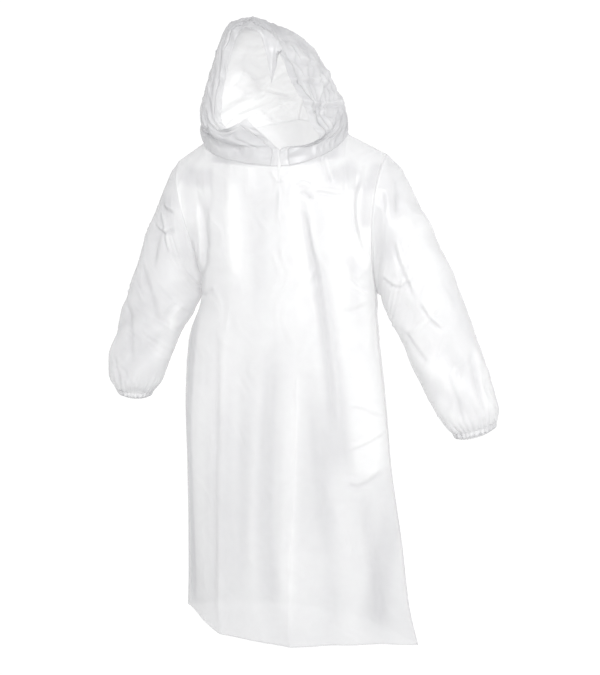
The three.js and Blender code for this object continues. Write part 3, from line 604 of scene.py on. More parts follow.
body = {
    "shoulderTip": {"right": (-0.25, 0, -0.057), "left": (0.246, 0, -0.038)},
    "pitDrop": {"right": 0.318, "left": 0.345},
    "armholeDepth": 0.084,
    "slitFoot": (0.035, -0.128, -0.092),
    "hemDrop": 1.2,
    "roundness": 2.2,
    "sideBunching": 0.7,
    "cornerSoft": 0.012,
    "core": {"narrow": 0.7, "lowered": 0.12, "below": 0.25},
    "backMiddleShare": 0.6,
    "yoke": {"neckOut": 0.04, "shoulderOut": 0.3, "armholeOut": 0.33, "leave": 0.45, "arrive": 1.2,
             "neckDepth": 0.11},
    # By drop: x of both sides, y of the right one, y in front and behind, x of the middle,
    # and how far a section is flat panels and not rounded
    "sections": rowsOf(
        "drop right rightY left front back middle flat",
        (0.3, -0.191, 0, 0.227, -0.138, 0.124, 0.04, 0),
        (0.385, -0.195, 0, 0.227, -0.137, 0.126, 0.046, 0),
        (0.467, -0.226, 0, 0.234, -0.134, 0.126, 0.052, 0.05),
        (0.6, -0.24, 0, 0.251, -0.129, 0.126, 0.059, 0.25),
        (0.76, -0.247, 0.01, 0.268, -0.123, 0.128, 0.058, 0.5),
        (0.946, -0.256, 0.027, 0.297, -0.114, 0.132, 0.055, 0.75),
        (1.106, -0.267, 0.048, 0.318, -0.105, 0.138, 0.051, 0.9),
        (1.2, -0.276, 0.062, 0.341, -0.1, 0.142, 0.05, 1)),
    "corners": {
        "front": {"across": (-1, -0.57, 0, 1), "share": (0, 0.86, 1, 0)},
        "back": {"across": (-1, -0.62, -0.1, 0.5, 1), "share": (0, 0.78, 1, 0.84, 0)},
    },
    "troughStart": 0.08,
    "troughFade": 0.2,
    "troughs": {
        "front": [
            {"width": 0.024, "depth": 0.01, "path": rowsOf(
                "drop x", (0.12, 0.09), (0.233, 0.099), (0.324, 0.127), (0.463, 0.15), (0.636, 0.165),
                (0.86, 0.172))},
        ],
        "back": [
            {"width": 0.03, "depth": 0.012, "path": rowsOf(
                "drop x", (0.16, -0.07), (0.62, -0.092), (1.2, -0.118))},
            {"width": 0.026, "depth": 0.009, "path": rowsOf(
                "drop x", (0.42, 0.066), (0.8, 0.084), (1.2, 0.096))},
            {"width": 0.032, "depth": 0.013, "path": rowsOf(
                "drop x", (0.26, 0.15), (0.7, 0.176), (1.2, 0.214))},
        ],
    },
    "shoulderSteps": 5,
    "neckSteps": {"front": 6, "back": 7},
    "columnsPerStep": {"front": 6, "back": 5},
    "yokeRows": {"front": 84, "back": 60},
    "skirtRows": {"front": 176, "back": 130},
    "flat": {"front": (0.69, 1.19), "back": (0.69, 1.24)},
    "flatArea": 0.69,
    # Waves: height, size, how much taller than wide, and lean, then the seeds of both
    "waves": {"sharp": (0.0011, 0.055, 2.2, 0), "soft": (0.0012, 0.11, 3.5, 0),
              "seeds": {"front": (3, 4), "back": (23, 24)}},
    "calmSkirt": {"below": 0.35, "over": 0.3, "share": 0.45},
    "creasesRise": {"across": 0.03, "down": 0.04},
    "sideSealed": 0.4,
    "topSealed": 0.2,
    # Painted shade and highlight, from -1 to 1: lighter at the top and darker on the skirt, and a
    # painted highlight for a metre of rise, painted shade where it sinks
    "whiteness": {"top": 0.25, "skirt": 0.04, "below": 0.45, "over": 0.5, "perHeight": 55},
    # Painted shade towards the hem in front, as grey and as extra opacity, and painted lighter film towards
    # the hem behind
    "lowShade": {"below": 0.92, "over": 0.26, "front": {"paintedShadeAndTone": -0.4, "sealed": 0.5},
                 "back": {"paintedShadeAndTone": 0.6, "sealed": 0}},
    # The hood's lower edge behind the front: its line by x and z, and the grey and extra opacity there,
    # partly for the layer behind and partly painted shade under the hood
    "collar": {"line": ((-0.131, -0.032, 0.08, 0.148), (-0.062, -0.067, -0.066, -0.049)),
               "soft": 0.008, "middle": 0.005, "halfWidth": 0.16, "sideSoft": 0.025,
               "paintedShadeAndTone": -0.9, "sealed": 1.2},
    # Strokes of painted highlight and painted shade, and creases, both by x and z
    "paintedShadeAndTone": {
        "front": [
            ((0.04, 0.032), 0.6, [(0.2, -0.105), (0.192, -0.3), (0.212, -0.5), (0.232, -0.775)], 0.04),
            (0.06, 0.15, [(0.03, -0.11), (0.03, -0.46)]),
            (0.02, 0.4, [(-0.082, -0.076), (-0.074, -0.2), (-0.066, -0.34)]),
            (0.018, -0.25, [(-0.01, -0.09), (-0.012, -0.24), (0, -0.43)]),
            (0.012, 0.35, [(0.062, -0.11), (0.078, -0.21), (0.092, -0.33)]),
            ((0.009, 0.028), -0.65, [(0.086, -0.116), (0.098, -0.21), (0.122, -0.3), (0.141, -0.42),
             (0.154, -0.56), (0.166, -0.8)], 0.15),
            ((0.014, 0.026), -0.35, [(0.02, -0.44), (0, -0.7), (-0.008, -0.9), (-0.004, -1.14)]),
            (0.016, -0.15, [(-0.044, -0.48), (-0.06, -0.8), (-0.066, -1.14)]),
            (0.018, 0.35, [(0.062, -0.5), (0.054, -0.82), (0.04, -1.19)]),
            (0.018, -0.25, [(0.108, -0.48), (0.122, -0.7), (0.146, -1)]),
            (0.012, -0.9, [(-0.186, -0.38), (-0.212, -0.62), (-0.228, -0.88), (-0.25, -1.19)], 0.1),
            (0.016, 0.25, [(-0.15, -0.48), (-0.18, -0.8), (-0.2, -1.1)]),
            ((0.02, 0.034), -0.25, [(-0.1, -0.52), (-0.108, -0.8), (-0.1, -1.13)]),
            ((0.02, 0.03), -0.35, [(0.282, -0.83), (0.25, -1.03), (0.225, -1.19)]),
            (0.016, -0.7, [(0.24, -0.05), (0.23, -0.11), (0.222, -0.2)], 0.1),
            (0.018, -0.6, [(0.196, -0.056), (0.164, -0.08), (0.13, -0.088)]),
            (0.016, -0.5, [(0.214, -0.07), (0.204, -0.13), (0.206, -0.23)]),
            (0.01, -0.3, [(0.17, -0.2), (0.19, -0.3), (0.2, -0.42)]),
            (0.012, -0.5, [(0.226, -0.31), (0.2, -0.29), (0.176, -0.25)]),
            (0.014, -0.2, [(-0.176, -0.32), (-0.15, -0.24), (-0.156, -0.12)]),
            (0.02, -0.7, [(-0.226, -0.074), (-0.18, -0.092), (-0.126, -0.086)]),
            (0.01, 0.35, [(-0.23, -0.08), (-0.214, -0.16), (-0.2, -0.26)]),
        ],
        "back": [
            ((0.01, 0.026), -0.6, [(-0.09, -0.06), (-0.096, -0.3), (-0.116, -0.6), (-0.15, -1.15)]),
            (0.04, 0.4, [(-0.01, -0.12), (-0.004, -0.46)]),
            (0.018, -0.45, [(0.02, -0.4), (0.034, -0.76), (0.04, -1.16)]),
            (0.014, 0.4, [(-0.052, -0.46), (-0.06, -0.8), (-0.07, -1.14)]),
            ((0.008, 0.026), -0.55, [(0.11, -0.06), (0.116, -0.26), (0.15, -0.6), (0.196, -1.15)]),
            (0.02, 0.5, [(0.17, -0.26), (0.2, -0.5), (0.23, -0.86)]),
            (0.014, -0.5, [(-0.186, -0.42), (-0.214, -0.7), (-0.24, -1.15)]),
            (0.016, -0.4, [(-0.2, -0.09), (-0.15, -0.11), (-0.12, -0.09)]),
            (0.018, -0.4, [(0.2, -0.08), (0.15, -0.1)]),
        ],
    },
    "creases": {
        "front": [
            # the long fold from the neck, its lit edge, and the soft field beside it
            ("pleat", 0.009, -0.006, [(0.082, -0.112), (0.092, -0.16), (0.106, -0.225), (0.124, -0.31),
             (0.14, -0.42), (0.152, -0.54), (0.16, -0.68)], 0.15),
            ("soft", 0.022, 0.006, [(0.13, -0.13), (0.152, -0.19), (0.17, -0.28), (0.18, -0.39)]),
            ("soft", 0.012, 0.003, [(0.05, -0.15), (0.07, -0.21), (0.086, -0.28), (0.094, -0.36)]),
            # the pinched place beside the neck
            ("soft", 0.0045, 0.006, [(0.074, -0.106), (0.086, -0.098), (0.104, -0.108)]),
            ("sharp", 0.004, -0.008, [(0.08, -0.116), (0.092, -0.122), (0.108, -0.134)]),
            ("pleat", 0.005, -0.004, [(0.108, -0.112), (0.14, -0.118), (0.178, -0.124)]),
            # the foot of the neck slit, and pulls that run from the neckline
            ("sharp", 0.004, 0.004, [(0.012, -0.07), (0.026, -0.086), (0.035, -0.098)]),
            ("sharp", 0.004, 0.004, [(0.062, -0.072), (0.048, -0.086), (0.036, -0.098)]),
            ("soft", 0.005, 0.002, [(0.034, -0.096), (0.036, -0.13), (0.032, -0.19)]),
            ("soft", 0.006, 0.003, [(-0.04, -0.05), (-0.036, -0.08), (-0.04, -0.14)]),
            ("soft", 0.013, 0.005, [(-0.096, -0.05), (-0.084, -0.11), (-0.076, -0.2),
             (-0.07, -0.33)], 0.3),
            ("soft", 0.01, -0.004, [(-0.15, -0.05), (-0.14, -0.12), (-0.15, -0.2)]),
            ("pleat", 0.005, -0.005, [(0.118, -0.03), (0.128, -0.06), (0.146, -0.1)]),
            ("soft", 0.008, -0.004, [(0.16, -0.04), (0.172, -0.08), (0.176, -0.14)]),
            # pulls to the armholes and the underarms
            ("pleat", 0.007, -0.006, [(0.205, -0.08), (0.196, -0.14), (0.202, -0.2), (0.22, -0.26)]),
            ("pleat", 0.006, -0.005, [(0.226, -0.345), (0.205, -0.33), (0.18, -0.3)]),
            ("soft", 0.007, -0.004, [(0.222, -0.365), (0.198, -0.38), (0.168, -0.376)]),
            ("pleat", 0.01, -0.007, [(-0.19, -0.325), (-0.165, -0.28), (-0.16, -0.21), (-0.17, -0.13)]),
            ("soft", 0.007, -0.004, [(-0.192, -0.35), (-0.165, -0.36), (-0.13, -0.34)]),
            # long soft folds of the skirt and the crease down its middle
            ("soft", 0.024, -0.006, [(0.02, -0.4), (0.008, -0.6), (-0.004, -0.85),
             (-0.004, -1.205)], 0.2),
            ("sharp", 0.004, 0.003, [(0.078, -0.48), (0.066, -0.8), (0.052, -1), (0.046, -1.215)], 0.12),
            ("soft", 0.018, -0.004, [(0.112, -0.56), (0.122, -0.78), (0.14, -1), (0.15, -1.21)], 0.2),
            ("pleat", 0.014, -0.005, [(-0.11, -0.38), (-0.118, -0.6), (-0.134, -0.9),
             (-0.15, -1.21)], 0.2),
            ("soft", 0.016, -0.004, [(-0.06, -0.56), (-0.066, -0.8), (-0.074, -1.1)], 0.3),
            ("soft", 0.016, -0.006, [(0.212, -0.78), (0.236, -0.96), (0.262, -1.21)], 0.25),
            # short slanted creases near the left seam
            ("pleat", 0.007, -0.004, [(0.178, -0.6), (0.214, -0.604), (0.262, -0.64)]),
            ("pleat", 0.007, -0.004, [(0.182, -0.704), (0.22, -0.69), (0.264, -0.668)]),
            ("pleat", 0.01, -0.005, [(0.17, -0.784), (0.214, -0.784), (0.262, -0.752)]),
        ],
        "back": [
            ("pleat", 0.01, -0.005, [(-0.12, -0.04), (-0.1, -0.14), (-0.096, -0.26)]),
            ("soft", 0.014, 0.005, [(0.02, 0), (0.014, -0.12), (0.02, -0.3)]),
            ("pleat", 0.009, -0.005, [(0.11, -0.02), (0.12, -0.12), (0.11, -0.24)]),
            ("pleat", 0.009, -0.005, [(-0.186, -0.33), (-0.15, -0.29), (-0.11, -0.28)]),
            ("pleat", 0.009, -0.005, [(0.222, -0.35), (0.19, -0.31), (0.15, -0.3)]),
            ("soft", 0.02, -0.007, [(-0.02, -0.42), (-0.03, -0.7), (-0.024, -1.21)], 0.2),
            ("pleat", 0.018, -0.006, [(-0.15, -0.5), (-0.168, -0.8), (-0.19, -1.21)], 0.2),
            ("sharp", 0.004, 0.003, [(0.032, -0.5), (0.03, -0.86), (0.022, -1.215)], 0.12),
            ("soft", 0.014, -0.005, [(0.15, -0.7), (0.156, -0.9), (0.15, -1.21)], 0.25),
            ("pleat", 0.008, -0.004, [(0.09, -0.62), (0.15, -0.64), (0.21, -0.62)]),
        ],
    },
}


# Core of the body: narrower than it, on the middle plane, and eased lower towards the shoulders
def bodyCore(p):
    core = body["core"]
    lowered = core["lowered"] * ease((p[..., 2] + core["below"]) / core["below"])
    return np.stack([core["narrow"] * p[..., 0], 0 * p[..., 1], p[..., 2] - lowered], axis=-1)


# Below the underarms: rounded sections that turn into flat panels with corners. Depth follows a
# superellipse at first, and straight lines between the corners at the hem
def bodyPoint(panel, across, drop):
    s = rowAt(body["sections"], "drop", drop)
    isFront = panel == "front"
    bunched = np.sin(across * np.pi / 2)
    placed = mix(across, bunched, body["sideBunching"] * (1 - s["flat"]))
    middle = s["middle"] * (1 if isFront else body["backMiddleShare"])
    x = np.where(placed < 0, mix(middle, s["right"], -placed), mix(middle, s["left"], placed))
    seamY = mix(s["rightY"], 0, (placed + 1) / 2)
    power = body["roundness"]
    rounded = np.maximum(1 - np.abs(placed) ** power, 0) ** (1 / power)
    corners, soft = body["corners"][panel], body["cornerSoft"]
    cornered = sum(np.interp(across + off, corners["across"], corners["share"])
                   for off in (-soft, 0, soft)) / 3
    cornered = cornered * ease((1 - np.abs(across)) / soft)
    deepest = s["front"] if isFront else s["back"]
    return np.stack([x, mix(seamY, deepest, mix(rounded, cornered, s["flat"])), -drop], axis=-1)


# The top edge of a panel, step by step: straight along the shoulder seam, round the hood's neckline
# and, in front, straight down the slit, and then the same on the other side
def topEdge(panel, step):
    neckSteps = body["neckSteps"][panel]
    middle = body["shoulderSteps"] + neckSteps + (2 if panel == "front" else 0)
    edge = np.zeros((len(step), 3))
    for side, away in (("right", step), ("left", 2 * middle - step)):
        u = np.clip(away, 0, middle)
        tip = np.array(body["shoulderTip"][side])
        neck = hoodPoint(side, 0, 0.5)
        shoulder = mix(tip, neck, (np.clip(u, 0, body["shoulderSteps"]) / body["shoulderSteps"])[:, None])
        past = u - body["shoulderSteps"]
        if panel == "front":
            seam = float(hemRound(side, np.array(0.0)))
            around = np.interp(past, [0, neckSteps, neckSteps + 1], [0.5, seam, 0])
        else:
            around = np.interp(past, [0, neckSteps], [0.5, 1])
        neckline = hoodPoint(side, 0 * around, around)
        points = np.where((past < 0)[:, None], shoulder, neckline)
        if panel == "front":
            slit = np.clip(past - neckSteps - 1, 0, 1)[:, None]
            points = mix(points, np.array(body["slitFoot"]), slit)
        edge = np.where((away <= middle)[:, None], points, edge)
    return edge, step / middle - 1


# Drop of the underarm line: straight from one underarm's to the other's
def pitLine(across):
    return mix(body["pitDrop"]["right"], body["pitDrop"]["left"], (across + 1) / 2)


# Between the top edge and the underarm line: one cubic down each column, which swells outwards
# below a shoulder seam and draws in along the armhole
def yokePoint(panel, across, top, t):
    yoke = body["yoke"]
    way = -1 if panel == "front" else 1
    foot = bodyPoint(panel, across, pitLine(across))
    onShoulder = 1 - np.minimum(np.abs(top[..., 1]) / yoke["neckDepth"], 1)
    atArmhole = np.maximum(0, 1 - np.abs(foot[..., 1]) / body["armholeDepth"])
    height = foot[..., 2] - top[..., 2]
    x = hermite(top[..., 0], foot[..., 0] - top[..., 0], foot[..., 0], 0, t)
    y = hermite(top[..., 1], way * (yoke["neckOut"] + yoke["shoulderOut"] * onShoulder),
                foot[..., 1], -way * yoke["armholeOut"] * atArmhole, t)
    z = hermite(top[..., 2], height * mix(1, yoke["leave"], onShoulder),
                foot[..., 2], height * mix(1, yoke["arrive"], onShoulder), t)
    return np.stack([x, y, z], axis=-1)


# Depth of a trough: a bell of the distance from its path, eased in at the top and, where it ends
# above the hem, eased out
def troughDepth(trough, x, drop):
    path = trough["path"]
    fade = ease((path[-1]["drop"] - drop) / body["troughFade"]) if path[-1]["drop"] < body["hemDrop"] else 1
    started = ease((drop - path[0]["drop"]) / body["troughStart"])
    return trough["depth"] * bell(x - rowAt(path, "drop", drop)["x"], trough["width"]) * started * fade


# A whole panel: yoke rows and skirt rows with the largest troughs pressed in, and the height of its
# creases and waves, which are lower on the skirt and 0 at the edges
def panelGrid(panel):
    steps = 2 * (body["shoulderSteps"] + body["neckSteps"][panel] + (2 if panel == "front" else 0))
    fine = body["columnsPerStep"][panel]
    edge, across = topEdge(panel, np.linspace(0, steps, steps * fine + 1))
    yokeRows, skirtRows = quickSteps(body["yokeRows"][panel]), quickSteps(body["skirtRows"][panel])
    t = (np.arange(yokeRows + 1) / yokeRows)[:, None]
    down = (np.arange(1, skirtRows + 1) / skirtRows)[:, None]
    top = yokePoint(panel, across + 0 * t, edge[None] + 0 * t[..., None], t)
    skirt = bodyPoint(panel, across + 0 * down, mix(pitLine(across), body["hemDrop"], down))
    grid = np.concatenate([top, skirt])
    reached = np.concatenate([t, 1 + down])
    depth = sum(troughDepth(trough, grid[..., 0], -grid[..., 2]) for trough in body["troughs"][panel])
    grid[..., 1] += (1 if panel == "front" else -1) * depth * clearOf(1 - np.abs(across), reached)
    x, z, calm, rising = grid[..., 0], grid[..., 2], body["calmSkirt"], body["creasesRise"]
    strength = mix(1.0, calm["share"], ease((-z - calm["below"]) / calm["over"]))
    height = creaseHeight(x, z, body["creases"][panel]) + filmWaves(body["waves"], panel, x, z, strength)
    return grid, height * ease((1 - np.abs(across)) / rising["across"]) * ease(reached / rising["down"])


# How sealed a panel is, and its painted shade and highlight: seams by their distance, a painted
# gradient down the panel, the painted strokes, and a painted highlight where the film rises. The
# hood's lower edge lies behind the front's top, with painted shade under it
def panelShade(panel, smooth, grid, height):
    x, z = smooth[..., 0], smooth[..., 2]
    seams = np.maximum(sealedBy(reachFrom(grid, 1)), sealedBy(reachFrom(grid, 1, fromEnd=True)))
    sealed = np.maximum(body["sideSealed"] * seams, body["topSealed"] * sealedBy(reachFrom(grid, 0)))
    white, low, collar = body["whiteness"], body["lowShade"], body["collar"]
    paintedShadeAndTone = mix(white["top"], white["skirt"], ease((-z - white["below"]) / white["over"]))
    paintedShadeAndTone = paintedShadeAndTone + strokes(x, z, body["paintedShadeAndTone"][panel]) + white["perHeight"] * height
    lowDown = ease((-z - low["below"]) / low["over"])
    paintedShadeAndTone = paintedShadeAndTone + low[panel]["paintedShadeAndTone"] * lowDown
    # painted shade under the hood: grey and extra opacity on the front's top
    if panel == "front":
        behind = ease((z - np.interp(x, *collar["line"])) / collar["soft"])
        behind = behind * ease((collar["halfWidth"] - np.abs(x - collar["middle"])) / collar["sideSoft"])
        paintedShadeAndTone = paintedShadeAndTone + collar["paintedShadeAndTone"] * behind
        sealed = np.maximum(sealed, collar["sealed"] * behind)
    return sealed + low[panel]["sealed"] * lowDown, paintedShadeAndTone


# A panel's piece: its creases and waves are raised along the normals
def makePanel(panel):
    smooth, height = panelGrid(panel)
    core = bodyCore(smooth)
    grid = smooth + normalsOf(smooth, core) * height[..., None]
    sealed, paintedShadeAndTone = panelShade(panel, smooth, grid, height)
    piece = addSheet(panel + "_film", grid, core, sealed, paintedShadeAndTone)
    dress(piece, blownFilm, panel)


for panel in ("front", "back"):
    makePanel(panel)
print("front and back are made")


# Height of a hood half's creases and waves, and how much of it is in front. Creases by x and z are
# seen from in front: outside ones on the part in front, and inside ones, turned over, on the back
def hoodDetail(side, grid, level, around):
    u = np.broadcast_to(reachFrom(grid, 1), level.shape)
    v = np.broadcast_to(reachFrom(grid, 0), level.shape)
    x, z, calm = grid[..., 0], grid[..., 2], hood["calmNear"]
    inFront = ease((hood["frontUntil"][side] - grid[..., 1]) / hood["frontSoft"])
    height = creaseHeight(u, v, hood["creases"][side])
    height = height + creaseHeight(x, z, hoodLines["outside"]) * inFront
    height = height - creaseHeight(x, z, hoodLines["inside"]) * (1 - inFront)
    height = height + filmWaves(hood["waves"], side, u, v, mix(1, hood["frontStrength"], inFront))
    near = clearOf(level * calm["neckline"], (1 - level) * calm["crown"], (1 - around) * calm["seam"])
    return height * near, inFront


# Painted shade and highlight on a half: its front greyer than its back, a painted highlight where a
# crease faces the viewer, and painted shade at the neckline and the crown. The neckline's share
# comes with it
def hoodShade(side, grid, level, height, inFront):
    white, collar, crown = hood["whiteness"], hood["collarShade"], hood["crownShade"]
    paintedShadeAndTone = mix(white["behind"], white["front"][side], inFront)
    paintedShadeAndTone = paintedShadeAndTone + mix(white["perHeightBehind"], white["perHeightFront"], inFront) * height
    atCollar = ease((collar["below"] - grid[..., 2]) / collar["over"]) * inFront
    atCrown = ease((level - crown["above"]) / crown["over"]) * inFront
    return paintedShadeAndTone + collar["paintedShadeAndTone"] * atCollar + crown["paintedShadeAndTone"] * atCrown, atCollar


# Both pieces of a half: the turned hem from the rim on, and the rest, evenly spaced round each level
def makeHood(side):
    level = np.linspace(0, 1, quickSteps(hood["levelSteps"]) + 1)
    hemEnd = hemRound(side, level)[:, None]
    front, behind, last = quickSteps(hood["frontSteps"]), quickSteps(hood["backSteps"]), hood["hemSteps"]
    t = np.concatenate([np.arange(front) / front, 1 + np.arange(behind + 1) / behind])
    around = np.where(t < 1, mix(hemEnd, 0.5, t), mix(0.5, 1, t - 1))
    around = np.concatenate([(hemEnd * np.linspace(0, 1, last + 1))[:, :-1], around], axis=1)
    levels = np.broadcast_to(level[:, None], around.shape)
    grid = hoodPoint(side, levels, around)
    core = hoodCore(grid, levels)
    height, inFront = hoodDetail(side, grid, levels, around)
    paintedShadeAndTone, atCollar = hoodShade(side, grid, levels, height, inFront)
    shade, share = hood["rimShade"][side], hood["sealedShare"]
    atRim = bell(levels - shade["level"], shade["levels"]) * ease((2 * hemEnd - around) / hemEnd)
    grid = grid + normalsOf(grid, core) * height[..., None]
    hemGrid, halfGrid = grid[:, :last + 1], grid[:, last:]
    seams = np.maximum(sealedBy(reachFrom(halfGrid, 1, fromEnd=True)),
                       sealedBy(reachFrom(halfGrid, 0, fromEnd=True)))
    sealed = share["front"] * inFront[:, last:] + share["collar"] * atCollar[:, last:]
    half = addSheet("hood_film_" + side, halfGrid, core[:, last:],
                    np.maximum(share["seams"] * seams, sealed), paintedShadeAndTone[:, last:])
    # the hem band: the half's painted tone, kept above a floor, less the painted shadow line along the rim
    bandPaintedShadeAndTone = np.maximum(paintedShadeAndTone, hood["hemMilkFrom"]) - shade["dark"] * atRim
    bandSealed = share["hem"] * sealedBy(reachFrom(hemGrid, 1, fromEnd=True), hood["hemSealWidth"])
    band = addSheet("hood_band_" + side, hemGrid, core[:, :last + 1], bandSealed, bandPaintedShadeAndTone[:, :last + 1])
    dress(half, blownFilm, "hood_" + side)
    dress(band, sealedFilm, "hood_hem_" + side)


for side in ("right", "left"):
    makeHood(side)
print("hood is made")


# Sleeves and cuffs. A place is a share of the way along the arm and a turn round it, from the
# outer line by the front

